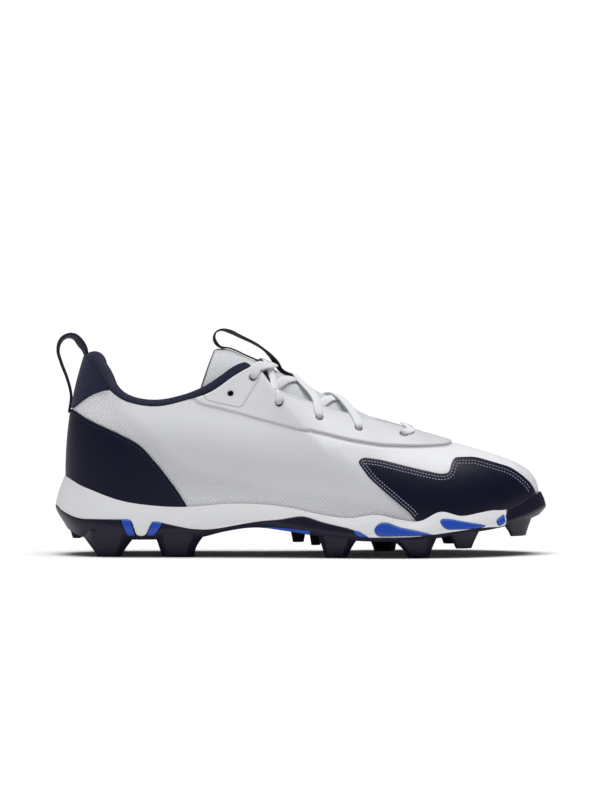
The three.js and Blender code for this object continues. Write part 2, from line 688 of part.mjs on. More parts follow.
function sheet(offset) {
  if (!sheets.has(offset)) {
    sheets.set(offset, climbs.map((climb) => turns.map((turn) => offSkin(turn, climb, offset))));
  }
  return sheets.get(offset);
}

// A point on that face, between its facets' corners
function onSheet(turn, climb, offset) {
  const rows = sheet(offset);
  const column = ((turn % 1) + 1) % 1 * TURNS;
  const row = Math.min(climb * (CLIMBS - 1), CLIMBS - 1 - 1e-9);
  const i = Math.floor(column);
  const j = Math.floor(row);
  const between = (level) => level[i % TURNS].clone().lerp(level[(i + 1) % TURNS], column - i);
  return between(rows[j]).lerp(between(rows[j + 1]), row - j);
}

// How far up the upper a depth below its top edge is
function climbBelow(turn, depth) {
  let climb = 1;
  let left = depth;
  let point = skin(turn, 1);
  while (left > 0 && climb > 0.02) {
    climb -= 0.01;
    const next = skin(turn, climb);
    left -= next.distanceTo(point);
    point = next;
  }
  return climb;
}

// A shell less each of the cuts
function without(shell, cuts) {
  return cuts.reduce((solid, cut) => solid.subtract(cut), shell);
}

const WIDE = BALL_WIDTH; // further from the middle than anything

// Above the top edge of the sole's side, with a clearance
function overLip(clearance) {
  const rim = sideRing(0, 0).slice(0, TURNS / 2 + 1);
  const edge = rim.map((point) => new THREE.Vector2(point.x, point.z + clearance));
  edge.unshift(new THREE.Vector2(-LENGTH, edge[0].y));
  edge.push(new THREE.Vector2(LENGTH, edge.at(-1).y));
  edge.push(new THREE.Vector2(LENGTH, 2 * HEIGHT), new THREE.Vector2(-LENGTH, 2 * HEIGHT));
  return prism(edge, -WIDE, WIDE);
}

// A straight hole through the upper at an eyelet
function eyeletHole({ k, below }, side, radius) {
  const turn = side < 0 ? k / 2 : 1 - k / 2;
  const climb = climbBelow(turn, below * BALL_WIDTH);
  const normal = skinNormal(turn, climb);
  const middle = skin(turn, climb);
  const helper = new THREE.Vector3(1, 0, 0);
  const up = normal.clone().cross(helper).normalize();
  const along = up.clone().cross(normal);
  const ring = (offset) => Array.from({ length: HOLE_SIDES }, (_, i) => {
    const angle = 2 * Math.PI * i / HOLE_SIDES;
    return middle.clone()
      .addScaledVector(normal, offset)
      .addScaledVector(along, radius * Math.cos(angle))
      .addScaledVector(up, radius * Math.sin(angle));
  });
  return loft([ring(-2 * WALL), ring(2 * WALL)]);
}

function eyeletHoles(radius) {
  return EYELETS.flatMap((eyelet) => [eyeletHole(eyelet, -1, radius), eyeletHole(eyelet, 1, radius)]);
}

function upper() {
  return without(slab(sheet(0), sheet(-WALL), true), eyeletHoles(EYELET_RADIUS));
}

// A thin sheet over the whole upper, from which the overlays are cut
function overlayStock() {
  return slab(sheet(GAP + OVERLAY), sheet(GAP), true).intersect(overLip(3 * GAP));
}

function overlay(stock, rows, from = -WIDE, to = WIDE) {
  return stock.intersect(prism(sideView(rows), from, to));
}

// One ring of the sole's side at a share of the drop from its top edge to the underside
function sideRing(drop, extra) {
  return turns.map((turn) => {
    const { k } = sideOf(turn);
    const top = onSheet(turn, climbAtLip(turn), GAP);
    const out = planNormal(turn);
    const flare = LIP + sideFlare(drop) * flareShare(k) * SIDE_FLARE + extra;
    const x = top.x + out.x * flare;
    const y = top.y + out.y * flare;
    return new THREE.Vector3(x, y, mix(heightAt(lipOf, top.x), heightAt(underOf, x), drop));
  });
}

// Everything under the foot: a cup that the upper stands in, with its outer side moved out by extra
function soleBody(extra = 0) {
  const outside = SIDE.map((row) => sideRing(row.drop, extra)).reverse();
  const inside = [1, 0.5, 0].map((part) => turns.map((turn) => {
    const point = onSheet(turn, climbAtLip(turn) * part, GAP);
    if (part === 0) point.z -= GAP;
    return point;
  }));
  return soleShape([...outside, ...inside]);
}

// The sole's edge at the height of the upper's bottom edge, for the outer (-1) or the inner side (1)
function soleEdge(x, side) {
  const at = (x / LENGTH + 0.5 - HEEL_BACK) / (TOE_FRONT - HEEL_BACK);
  const half = planHalf(at) * roundEnd(at, HEEL_ROUND) * roundEnd(1 - at, TOE_ROUND);
  return (planCentre(at) + side * half) * BALL_WIDTH;
}

function studRing(side, from, to, outer, inner, level) {
  const start = share(from);
  const end = share(to);
  const corner = 0.22;
  const bevel = corner * (end - start);
  const depth = corner * (inner - outer);
  const marks = [
    [start, outer + depth], [start + bevel, outer], [end - bevel, outer], [end, outer + depth],
    [end, inner - depth], [end - bevel, inner], [start + bevel, inner], [start, inner - depth],
  ];
  const ring = marks.map(([x, inset]) => new THREE.Vector3(x, soleEdge(x, side) - side * inset, level(x)));
  return side < 0 ? ring : ring.reverse();
}

function stud(row) {
  const root = (x) => heightAt(underOf, x) + STUD_ROOT;
  const lift = row.lift * HEIGHT;
  const waist = (x) => mix(lift, heightAt(underOf, x), 0.72);
  const tip = () => lift;
  const { side, from, to, tipFrom, tipTo } = row;
  const width = row.width * STUD_WIDTH;
  const tipWidth = row.tipWidth * STUD_WIDTH;
  const waistWidth = mix(width, tipWidth, 0.3);
  const outer = -STUD_EDGE;
  return loft([
    studRing(side, tipFrom, tipTo, outer + STUD_LEAN, outer + STUD_LEAN + tipWidth, tip),
    studRing(side, mix(from, tipFrom, 0.35), mix(to, tipTo, 0.35), outer, outer + waistWidth, waist),
    studRing(side, from, to, outer, outer + width, root),
  ]);
}

// Blade at the back of the heel
function heelBlade() {
  const level = (x) => heightAt(underOf, x) + STUD_ROOT;
  const ring = (from, to, half, height) => [[from, -half], [to, -half], [to, half], [from, half]]
    .map(([at, y]) => new THREE.Vector3(share(at), y, height(share(at))));
  return loft([
    ring(0.034, 0.05, HEEL_BLADE_WIDTH * 0.4, () => HEEL_BLADE_LIFT),
    ring(0.028, 0.06, HEEL_BLADE_WIDTH * 0.5, level),
  ]);
}

function insole() {
  const ring = (rise) => turns.map((turn) => {
    const level = skin(turn, 0).z + rise;
    const first = sheet(0)[1][Math.round(turn * TURNS)].z - skin(turn, 0).z;
    const point = onSheet(turn, rise / first / (CLIMBS - 1), -WALL - 2 * GAP);
    return point.setZ(level);
  });
  return soleShape([ring(0), ring(INSOLE)]);
}

// One section of the padded collar: over the upper's edge and down its inside
function collarRing(turn) {
  const k = Math.abs(turn) * 2;
  const edge = onSheet(turn, 1, 0);
  const normal = onSheet(turn, 1, GAP).sub(edge).normalize();
  const up = skin((turn + 1) % 1, 1).sub(skin((turn + 1) % 1, 0.97)).normalize();
  const roll = collarRoll(k) * COLLAR_ROLL;
  const pad = collarPad(k) * COLLAR_PAD;
  const place = (out, height) => edge.clone().addScaledVector(normal, -out).addScaledVector(up, height);
  const low = climbBelow((turn + 1) % 1, LINING_REACH * collarReach(k));
  const inner = (climb, offset) => onSheet(turn, climb, offset);
  const back = WALL + LINING_ROOM;
  const lining = [0, 0.4, 0.7].map((part) => mix(low, 1, part));
  return [
    place(0, GAP),
    ...ROLL.map(({ out, up: height }) => place(out * pad, height * roll)),
    inner(mix(1, low, 0.5), -mix(pad, back + LINING, 0.25)),
    inner(mix(1, low, 0.85), -mix(pad, back + LINING, 0.7)),
    inner(low, -back - LINING * 0.6),
    ...lining.map((climb) => inner(climb, -back)),
    place(back, GAP),
  ];
}

function collar() {
  const last = COLLAR.at(-1).k / 2;
  const inside = turns.filter((turn) => turn < last - 0.002);
  const line = [-last, ...inside.slice(1).map((turn) => -turn).reverse(), 0, ...inside.slice(1), last];
  return loft(line.map((turn) => collarRing(turn).reverse()));
}

// A grid of points moved along its own normals
function sunk(grid, depth) {
  return grid.map((row, i) => row.map((point, j) => {
    const ahead = grid[Math.min(i + 1, grid.length - 1)][j];
    const behind = grid[Math.max(i - 1, 0)][j];
    const left = row[Math.max(j - 1, 0)];
    const right = row[Math.min(j + 1, row.length - 1)];
    const normal = ahead.clone().sub(behind).cross(right.clone().sub(left)).normalize();
    return point.clone().addScaledVector(normal, -depth(i));
  }));
}

// One side of a row of the tongue, from its middle out to its wing
function tongueHalf(middle, row, side) {
  const turn = side < 0 ? row.k / 2 : 1 - row.k / 2;
  const pad = row.k < COLLAR.at(-1).k ? collarPad(row.k) * COLLAR_PAD : 0;
  const inset = -(Math.max(WALL, pad) + TONGUE_ROOM);
  const edge = offSkin(turn, climbBelow(turn, row.edge * TONGUE_WING), inset);
  const wing = offSkin(turn, climbBelow(turn, row.wing * TONGUE_WING), inset);
  const inward = edge.clone().sub(wing).normalize();
  const arc = new THREE.CubicBezierCurve3(
    middle,
    new THREE.Vector3(middle.x, edge.y * 0.6, middle.z),
    edge.clone().addScaledVector(inward, 0.4 * edge.distanceTo(middle)),
    edge,
  );
  return [...[0.28, 0.52, 0.76, 1].map((part) => arc.getPoint(part)), wing];
}

const tongueRows = [
  ...TONGUE_ROWS.map((row) => ({ ...row, point: new THREE.Vector3(share(row.at), 0, row.up * HEIGHT) })),
  ...TONGUE_FRONT.map((row) => ({
    ...row,
    point: offSkin(0.5, climbBelow(0.5, row.middle * TONGUE_WING), -WALL - TONGUE_ROOM),
  })),
];

// The tongue's upper face, its rows from the ankle to the toe
const tongueFace = tongueRows.map((row) => {
  const middle = row.point.clone();
  const outer = tongueHalf(middle, row, -1);
  const inner = tongueHalf(middle, row, 1);
  return [...outer.reverse(), middle, ...inner];
});

function tongue() {
  const under = sunk(tongueFace, (i) => tongueRows[i].thick * TONGUE);
  return slab(under, tongueFace);
}

// A flat strip along a line; facing tells where its broad face looks at each point
function strip(line, facing, width, thick) {
  return loft(line.map((point, i) => {
    const along = line[Math.min(i + 1, line.length - 1)].clone().sub(line[Math.max(i - 1, 0)]).normalize();
    const level = facing(i, along).cross(along).normalize();
    const up = along.clone().cross(level);
    const corner = (side, rise) => point.clone()
      .addScaledVector(level, side * width / 2)
      .addScaledVector(up, rise * thick / 2);
    return [corner(-1, -1), corner(1, -1), corner(1, 1), corner(-1, 1)];
  }));
}

// A web loop stands in the side view
function web(line, width) {
  const sideways = new THREE.Vector3(0, 1, 0);
  return strip(line, (i, along) => along.clone().cross(sideways), width, WEB_THICK);
}

function sideCurve(rows, size, start, steps) {
  const place = (row) => new THREE.Vector3(start.x + row.forward * size, 0, start.z + row.up * size);
  const line = rows.map(place);
  return new THREE.CatmullRomCurve3(line).getPoints(steps);
}

function heelLoop() {
  const lift = WEB_THICK / 2 + GAP;
  const start = onSheet(0, climbBelow(0, HEEL_LOOP_BELOW), GAP + OVERLAY + lift);
  const top = onSheet(0, 1, -0.1 * COLLAR_PAD);
  const end = new THREE.Vector3(top.x, 0, skin(0, 1).z + collarRoll(0) * COLLAR_ROLL + 2 * lift);
  return web([...sideCurve(HEEL_LOOP, HEEL_LOOP_HEIGHT, start, 17), end], HEEL_WEB_WIDTH);
}

function tongueLoop() {
  const overTongue = (x) => new THREE.Vector3(x, 0, tongueAt(x, 0).z + GAP + WEB_THICK);
  const free = sideCurve(TONGUE_LOOP, TONGUE_LOOP_LENGTH, overTongue(share(TONGUE_LOOP_AT)), 20);
  const seat = TONGUE_SEAT.map((at) => overTongue(share(at)));
  return web([...free, ...seat], TONGUE_WEB_WIDTH);
}

// The tongue's upper face over a point in plan: its height and normal
function tongueAt(x, y) {
  let best = { z: -Infinity };
  for (let i = 1; i < tongueFace.length; i += 1) {
    for (let j = 1; j < tongueFace[i].length; j += 1) {
      const [a, b] = [tongueFace[i - 1][j - 1], tongueFace[i - 1][j]];
      const [c, d] = [tongueFace[i][j - 1], tongueFace[i][j]];
      for (const [p, q, r] of [[a, b, d], [a, d, c]]) {
        const plane = q.clone().sub(p).cross(r.clone().sub(p));
        const u = ((x - p.x) * (r.y - p.y) - (r.x - p.x) * (y - p.y)) / plane.z;
        const v = ((q.x - p.x) * (y - p.y) - (x - p.x) * (q.y - p.y)) / plane.z;
        const z = p.z + u * (q.z - p.z) + v * (r.z - p.z);
        if (u >= -0.01 && v >= -0.01 && u + v <= 1.01 && z > best.z) {
          best = { z, normal: plane.clone().normalize().multiplyScalar(Math.sign(plane.z)) };
        }
      }
    }
  }
  return best;
}

// Where a lace lies on the upper: the way from an eyelet to the throat's edge, from 0 to 1
function onUpper({ k, below, edge }, side, part) {
  const column = mix(k, edge, part);
  const turn = side < 0 ? column / 2 : 1 - column / 2;
  const climb = mix(climbBelow(side < 0 ? k / 2 : 1 - k / 2, below * BALL_WIDTH), 1, part);
  const point = onSheet(turn, climb, LACE_LIFT);
  return { point, normal: skinNormal(turn, climb) };
}

function overEdge(number, side) {
  return [-0.08, 0.2, 0.4, 0.6, 0.8, 0.97].map((part) => onUpper(EYELETS[number], side, part));
}

function onTongue(place, lift) {
  const { z, normal } = tongueAt(place.x, place.y);
  const point = new THREE.Vector3(place.x, place.y, z).addScaledVector(normal, lift);
  return { point, normal };
}

// Drops the places that a tight lace passes over
function taut(places) {
  const first = places[0].point;
  const reach = ({ point }) => Math.hypot(point.x - first.x, point.y - first.y);
  const kept = [];
  places.forEach((place) => {
    while (kept.length > 1) {
      const [a, b] = kept.slice(-2);
      const rise = (b.point.z - a.point.z) * (reach(place) - reach(a));
      if (rise > (place.point.z - a.point.z) * (reach(b) - reach(a))) break;
      kept.pop();
    }
    kept.push(place);
  });
  return kept;
}

function lace(places) {
  return strip(places.map((place) => place.point), (i) => places[i].normal.clone(), LACE_WIDTH, LACE_THICK);
}

// A lace from an eyelet over the throat's edge, across the tongue and in front of the other edge
function laceStrand(from, to, side) {
  const start = overEdge(from, side);
  const edge = mix(EYELETS[from].edge, EYELETS[to].edge, CROSS_BACK);
  const goal = onUpper({ ...EYELETS[from], edge }, -side, 0.97).point;
  const over = [0.15, 0.25, 0.35, 0.45, 0.55, 0.65, 0.75, 0.82].map((part) => (
    onTongue(start.at(-1).point.clone().lerp(goal, part), LACE_ROOM + LACE_THICK / 2)));
  return lace([...start.slice(0, -1), ...taut([start.at(-1), ...over])]);
}

// A lace straight across, between two eyelets of a pair
function laceBar(number, bow, lift) {
  const left = overEdge(number, -1);
  const right = overEdge(number, 1).reverse();
  const over = [0.2, 0.35, 0.5, 0.65, 0.8].map((part) => {
    const place = left.at(-1).point.clone().lerp(right[0].point, part);
    place.x += bow * 4 * part * (1 - part);
    return onTongue(place, LACE_ROOM + lift * LACE_THICK);
  });
  return lace([...left.slice(0, -1), ...taut([left.at(-1), ...over, right[0]]), ...right.slice(1)]);
}

function laceCross(from, to) {
  return laceStrand(from, to, -1).add(laceStrand(from, to, 1));
}

const group = new THREE.Group();

function piece(name, solid, color, roughness) {
  const look = new THREE.MeshStandardMaterial({ color, roughness, metalness: 0 });
  const mesh = new THREE.Mesh(asGeometry(solid.simplify(FINE)), look);
  mesh.name = name;
  group.add(mesh);
}

const WHITE = 0xf2f2f4;
const NAVY = 0x1f2130;
const BLUE = 0x2d46a8;

piece('upper', upper(), WHITE, 0.6);
const stock = overlayStock();
piece('heel_counter', overlay(stock, COUNTER), NAVY, 0.5);
piece('heel_tab', overlay(stock, TAB), NAVY, 0.7);
piece('eyestay', without(overlay(stock, EYESTAY), eyeletHoles(EYELET_RADIUS)), WHITE, 0.5);
piece('toe_overlay_outer', overlay(stock, TOE_OVERLAY, -WIDE, 0), NAVY, 0.5);
piece('toe_overlay_inner', overlay(stock, TOE_OVERLAY, 0, WIDE), NAVY, 0.5);

const parting = sideView(PARTING);
const inserts = Object.entries(INSERTS).flatMap(([name, rows]) => [
  { name: `insert_${name}_outer`, outline: sideView(rows), from: -WIDE, to: 0 },
  { name: `insert_${name}_inner`, outline: sideView(rows), from: 0, to: WIDE },
]);
const skirt = soleBody(INSERT_PROUD).subtract(soleBody(-INSERT_DEPTH));
inserts.forEach(({ name, outline, from, to }) => {
  piece(name, skirt.intersect(prism(outline, from, to)), BLUE, 0.4);
});
const seats = soleBody(2 * LIP).subtract(soleBody(-INSERT_DEPTH - GAP));
const pockets = inserts.map(({ outline, from, to }) => (
  seats.intersect(prism(grown(outline, GAP), from, to))));
const body = without(soleBody(), pockets);
piece('midsole', body.subtract(prism(grown(parting, GAP), -WIDE, WIDE)), WHITE, 0.6);
const plate = body.intersect(prism(parting, -WIDE, WIDE));
const teeth = [...STUDS.map(stud), heelBlade()];
piece('outsole', teeth.reduce((solid, tooth) => solid.add(tooth), plate), NAVY, 0.5);
piece('insole', insole(), NAVY, 0.9);
piece('collar', collar(), NAVY, 0.9);
piece('tongue', tongue(), WHITE, 0.8);
piece('heel_loop', heelLoop(), NAVY, 0.9);
piece('tongue_loop', tongueLoop(), NAVY, 0.9);
const covered = slab(sheet(2 * GAP + OVERLAY), sheet(-WALL - GAP), true);
piece('lace_bar_toe', laceBar(5, 0, 0.5).subtract(covered), WHITE, 0.9);
piece('lace_cross_toe', laceCross(4, 3).subtract(covered), WHITE, 0.9);
piece('lace_cross_middle', laceCross(3, 2).subtract(covered), WHITE, 0.9);
piece('lace_ankle', laceCross(2, 1).add(laceBar(1, TOP_LACE_BOW, 1.2)).subtract(covered), WHITE, 0.9);

export default group;
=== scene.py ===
"""A low baseball cleat for the right foot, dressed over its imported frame.

Sizes are in millimetres until a mesh is made. +X points to the toe, +Y to the inner side of the foot
and +Z up, with the origin on the floor under the middle of the shoe.
"""

from __future__ import annotations

import logging
import math
from dataclasses import dataclass, field
from enum import Enum
from typing import Callable, Sequence

import bmesh
import bpy
import numpy as np
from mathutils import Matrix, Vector
from mathutils.bvhtree import BVHTree


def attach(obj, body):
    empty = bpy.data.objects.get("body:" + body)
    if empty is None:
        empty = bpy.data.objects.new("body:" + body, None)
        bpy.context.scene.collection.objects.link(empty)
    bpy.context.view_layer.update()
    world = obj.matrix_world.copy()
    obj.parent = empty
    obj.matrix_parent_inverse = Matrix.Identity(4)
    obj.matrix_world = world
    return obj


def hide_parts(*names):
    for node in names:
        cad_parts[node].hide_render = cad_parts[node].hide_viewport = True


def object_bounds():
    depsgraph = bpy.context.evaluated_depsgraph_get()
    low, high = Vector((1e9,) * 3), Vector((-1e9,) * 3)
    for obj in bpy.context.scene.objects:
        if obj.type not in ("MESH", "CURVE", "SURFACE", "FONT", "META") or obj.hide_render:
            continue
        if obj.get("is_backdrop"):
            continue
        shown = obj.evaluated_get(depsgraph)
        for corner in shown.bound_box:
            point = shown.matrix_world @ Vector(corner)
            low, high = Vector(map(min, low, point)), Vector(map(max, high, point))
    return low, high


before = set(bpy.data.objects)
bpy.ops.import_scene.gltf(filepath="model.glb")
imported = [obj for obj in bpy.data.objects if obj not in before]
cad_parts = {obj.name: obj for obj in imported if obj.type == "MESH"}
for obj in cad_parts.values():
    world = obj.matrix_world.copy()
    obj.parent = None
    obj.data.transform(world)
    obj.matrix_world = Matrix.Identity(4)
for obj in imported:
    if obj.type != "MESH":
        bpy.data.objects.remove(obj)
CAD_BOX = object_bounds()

log = logging.getLogger("cleat")

MM = 0.001

# Driving sizes, as in the part's source
LENGTH = 300.0
BALL_WIDTH = 95.0
HEIGHT = 127.0
GAP = 0.3
WALL = 2.2
OVERLAY = 0.9
LIP = 1.5
SIDE_FLARE = 3.9
INSERT_DEPTH = 1.2
INSERT_PROUD = 0.5
INSOLE = 3.5
HEEL_BACK = 0.0245
TOE_FRONT = 0.9905
HEEL_ROUND = 0.13
TOE_ROUND = 0.22

# Plan of the upper's bottom edge: at, centre and half width (shares of BALL_WIDTH)
PLAN = (
    (0, 0, 0.33), (0.1, 0, 0.335), (0.2, -0.002, 0.345), (0.3, -0.01, 0.355), (0.4, -0.022, 0.367),
    (0.5, -0.033, 0.4), (0.6, -0.027, 0.46), (0.68, -0.01, 0.493), (0.75, 0.005, 0.495),
    (0.83, 0.028, 0.47), (0.9, 0.05, 0.44), (0.96, 0.065, 0.4), (1, 0.07, 0.37),
)
# Columns of the upper, heel to toe: k, then the top edge's at, gap and up, then rise, splay, reach, dip
COLUMNS = (
    (0, 0.0605, 0, 0.965, 0.28, 0.05, 0.28, 72), (0.06, 0.0625, 0.089, 0.963, 0.28, 0.05, 0.28, 72),
    (0.12, 0.073, 0.168, 0.95, 0.27, 0.05, 0.26, 74),
    (0.18, 0.0885, 0.226, 0.894, 0.25, 0.05, 0.24, 76),
    (0.24, 0.1082, 0.274, 0.812, 0.22, 0.06, 0.2, 78), (0.3, 0.1449, 0.313, 0.752, 0.2, 0.07, 0.18, 78),
    (0.36, 0.2041, 0.334, 0.728, 0.2, 0.07, 0.18, 76), (0.42, 0.2653, 0.335, 0.757, 0.2, 0.06, 0.2, 72),
    (0.47, 0.3204, 0.325, 0.802, 0.22, 0.05, 0.24, 68),
    (0.51, 0.3633, 0.312, 0.872, 0.23, 0.04, 0.28, 63),
    (0.54, 0.3898, 0.298, 0.908, 0.24, 0.04, 0.3, 59),
    (0.565, 0.4082, 0.28, 0.923, 0.25, 0.04, 0.32, 55),
    (0.59, 0.4224, 0.256, 0.867, 0.25, 0.04, 0.32, 51),
    (0.62, 0.4531, 0.227, 0.807, 0.25, 0.04, 0.32, 46),
    (0.67, 0.5122, 0.189, 0.752, 0.24, 0.04, 0.33, 38),
    (0.72, 0.5816, 0.156, 0.696, 0.23, 0.04, 0.34, 31),
    (0.78, 0.6531, 0.126, 0.653, 0.22, 0.04, 0.37, 25), (0.84, 0.7, 0.1, 0.622, 0.21, 0.04, 0.4, 21),
    (0.9, 0.7286, 0.074, 0.602, 0.2, 0.04, 0.44, 18), (0.95, 0.7429, 0.042, 0.593, 0.2, 0.04, 0.47, 17),
    (1, 0.749, 0, 0.588, 0.2, 0.04, 0.48, 17),
)
# Side view of the sole: at, footbed, lip, under
SOLE = (
    (0, 0.209, 0.405, 0.16), (0.025, 0.207, 0.38, 0.125), (0.05, 0.203, 0.347, 0.096),
    (0.08, 0.2, 0.318, 0.088), (0.13, 0.2, 0.276, 0.085), (0.2, 0.197, 0.25, 0.085),
    (0.26, 0.198, 0.244, 0.09), (0.3, 0.2, 0.249, 0.098), (0.34, 0.2, 0.258, 0.122),
    (0.41, 0.2, 0.259, 0.145), (0.47, 0.196, 0.246, 0.13), (0.54, 0.18, 0.212, 0.104),
    (0.6, 0.166, 0.194, 0.087), (0.66, 0.155, 0.21, 0.081), (0.7, 0.15, 0.19, 0.081),
    (0.745, 0.15, 0.181, 0.086), (0.785, 0.156, 0.224, 0.098), (0.83, 0.168, 0.203, 0.114),
    (0.865, 0.182, 0.216, 0.125), (0.89, 0.194, 0.226, 0.133), (0.92, 0.208, 0.228, 0.146),
    (0.945, 0.222, 0.252, 0.16), (0.97, 0.238, 0.282, 0.176), (1, 0.262, 0.31, 0.2),
)
# Section of the sole's side: drop, flare
SIDE = ((0, 0), (0.12, 0.31), (0.4, 0.87), (0.75, 1), (1, -0.385))
# How much of that flare there is: k, share
FLARE = ((0, 1.2), (0.3, 0.9), (0.5, 0.6), (0.7, 0.65), (0.85, 0.5), (1, 0.6))
# Parting line of midsole and outsole in the side view: at, up
PARTING = (
    (-0.1, 0.3), (0, 0.245), (0.01, 0.222), (0.03, 0.198), (0.05, 0.184), (0.155, 0.184),
    (0.166, 0.103), (0.184, 0.103), (0.198, 0.176), (0.22, 0.167), (0.255, 0.149), (0.275, 0.14),
    (0.306, 0.135), (0.337, 0.142), (0.388, 0.166), (0.42, 0.178), (0.46, 0.186), (0.5, 0.203),
    (0.516, 0.198), (0.54, 0.178), (0.572, 0.159), (0.602, 0.145), (0.635, 0.101), (0.72, 0.104),
    (0.75, 0.108), (0.79, 0.12), (0.83, 0.133), (0.865, 0.143), (0.89, 0.146), (0.908, 0.144),
    (0.9225, 0.15), (0.924, 0.3), (0.923, 0.45), (1.1, 0.45), (1.1, -0.1), (-0.1, -0.1),
)
# Studs: side, from, to, tip from, tip to (shares of LENGTH), width, tip width, lift (mm), then how much
# the rear and front edges hollow out on their way up
STUDS = (
    ("heel_rear_outer", -1, 0.057, 0.159, 0.086, 0.135, 19, 9, 0, 1.1, 1.3),
    ("heel_rear_inner", 1, 0.057, 0.159, 0.086, 0.135, 19, 9, 0, 1.1, 1.3),
    ("heel_front_outer", -1, 0.206, 0.304, 0.218, 0.284, 18, 9, 0, 1.1, 2.2),
    ("heel_front_inner", 1, 0.206, 0.304, 0.218, 0.284, 18, 9, 0, 1.1, 2.2),
    ("ball_rear_outer", -1, 0.537, 0.616, 0.551, 0.596, 17, 9, 0, 1.2, 1.2),
    ("shank_rear_inner", 1, 0.478, 0.514, 0.485, 0.508, 12, 6, 6, 1.2, 1.2),
    ("shank_front_inner", 1, 0.517, 0.549, 0.523, 0.542, 12, 6, 4, 1.2, 1.2),
    ("ball_outer", -1, 0.69, 0.78, 0.72, 0.763, 17, 9, 0, 1.6, 1.2),
    ("ball_inner", 1, 0.639, 0.704, 0.653, 0.696, 17, 9, 0, 1.2, 1.2),
    ("front_outer", -1, 0.804, 0.867, 0.818, 0.851, 15, 8, 5.5, 1.2, 1.2),
    ("front_inner", 1, 0.782, 0.847, 0.796, 0.829, 15, 8, 4.5, 1.2, 1.2),
    ("toe_outer", -1, 0.918, 0.975, 0.931, 0.963, 12, 6, 12, 1.2, 1.2),
    ("toe_inner", 1, 0.918, 0.975, 0.931, 0.963, 12, 6, 12, 1.2, 1.2),
)
# Outlines of the overlays in the side view: at, up
TAB = (
    (0.034, 0.706), (0.046, 0.73), (0.059, 0.756), (0.073, 0.778), (0.088, 0.793), (0.102, 0.802),
    (0.122, 0.808), (0.135, 1.1), (-0.1, 1.1), (-0.1, 0.706),
)
COUNTER = (
    (-0.1, 0.705), (0.031, 0.705), (0.044, 0.696), (0.058, 0.674), (0.088, 0.64), (0.133, 0.592),
    (0.165, 0.554), (0.18, 0.525), (0.214, 0.434), (0.255, 0.304), (0.28, 0.2), (-0.1, 0.2),
)
EYESTAY = (
    (0.276, 0.761), (0.337, 0.728), (0.418, 0.675), (0.5, 0.622), (0.582, 0.575), (0.622, 0.554),
    (0.663, 0.54), (0.745, 0.532), (0.8, 0.535), (0.813, 0.545), (0.818, 0.8), (0.6, 1.1), (0.27, 1.1),
)
TOE_OVERLAY = (
    (0.617, 0.463), (0.628, 0.484), (0.665, 0.472), (0.704, 0.448), (0.745, 0.424), (0.786, 0.402),
    (0.804, 0.406), (0.81, 0.455), (0.816, 0.477), (0.857, 0.477), (0.9, 0.447), (0.931, 0.424),
    (0.955, 0.385), (0.975, 0.34), (0.985, 0.28), (0.985, 0.1), (0.76, 0.1), (0.725, 0.217),
    (0.704, 0.258), (0.663, 0.34), (0.643, 0.381),
)
# Raised panel round the ankle eyelets, and the dotted film of the quarter and toe, in the side view
ANKLE_PANEL = (
    (0.306, 0.766), (0.374, 0.73), (0.382, 0.737), (0.398, 0.8), (0.414, 0.858), (0.43, 1.1), (0.27, 1.1),
)
DOTTED = (
    (0.02, 0.72), (0.075, 0.83), (0.12, 0.85), (0.143, 0.737), (0.194, 0.641), (0.225, 0.5445),
    (0.255, 0.482), (0.306, 0.424), (0.398, 0.3855), (0.449, 0.361), (0.541, 0.342), (0.622, 0.304),
    (0.704, 0.255), (0.75, 0.2), (0.78, 0.1), (-0.05, 0.1),
)
DOTTED_TOE = ((0.955, 0.1), (0.955, 0.36), (0.935, 0.42), (0.92, 0.6), (1.1, 0.6), (1.1, 0.1))
# Eyelets, ankle first: k, depth below the edge (mm), k where a lace comes over the edge
EYELETS = (
    (0.494, 7.6, 0.5), (0.543, 6.5, 0.572), (0.557, 28.5, 0.612), (0.651, 20.5, 0.685),
    (0.701, 24, 0.74), (0.778, 20.6, 0.872),
)
EYELET_RADIUS = 2.1
# Collar: k, height over the edge, thickness, depth inside (mm)
COLLAR = (
    (0, 3, 13, 28), (0.12, 5, 13, 28), (0.18, 6, 12.4, 28), (0.24, 5.4, 10.4, 28), (0.3, 3.6, 9, 28),
    (0.42, 3.8, 7, 25), (0.49, 5.4, 5.5, 17), (0.53, 6, 4.5, 12.6), (0.552, 5, 4, 9.8),
    (0.562, 4, 4, 9.8),
)
ROLL = ((0.02, 0.45), (0.16, 0.85), (0.42, 1), (0.75, 0.7), (0.97, 0))
LINING = 2.0
LINING_ROOM = 1.0
# Tongue: at, up, k of the column beside it, its edge's and wing's depth (mm), thickness
TONGUE_ROWS = (
    (0.3235, 0.999, 0.443, 3, 15, 4.4), (0.357, 0.992, 0.48, 5, 16, 5.5), (0.388, 0.959, 0.515, 8, 18, 5.5),
    (0.42, 0.926, 0.55, 9, 19, 5.5), (0.46, 0.881, 0.59, 5, 17, 5.5), (0.5, 0.832, 0.64, 2.5, 15, 5.5),
    (0.541, 0.785, 0.68, 2, 14, 5.5), (0.582, 0.742, 0.715, 2, 13, 5.5), (0.622, 0.694, 0.75, 2, 12, 5),
    (0.663, 0.648, 0.79, 2, 12, 4.4), (0.703, 0.598, 0.84, 2, 12, 3.8),
)
TONGUE_FRONT = ((2, 0.89, 2, 12, 3.3), (10, 0.93, 10, 16, 2.8), (19, 0.94, 19, 22, 2.2))
TONGUE_ROOM = 1.8
# Painted shade on the tongue in the gap beside it under the top lace, in the side view
SHADE_PATCH = (
    (0.42, 0.892), (0.43, 0.902), (0.447, 0.902), (0.447, 0.86), (0.437, 0.835), (0.426, 0.835),
    (0.432, 0.862), (0.426, 0.88),
)
LACE_WIDTH = 5.6
LACE_THICK = 1.5
LACE_ROOM = 0.3
WEB_THICK = 1.7
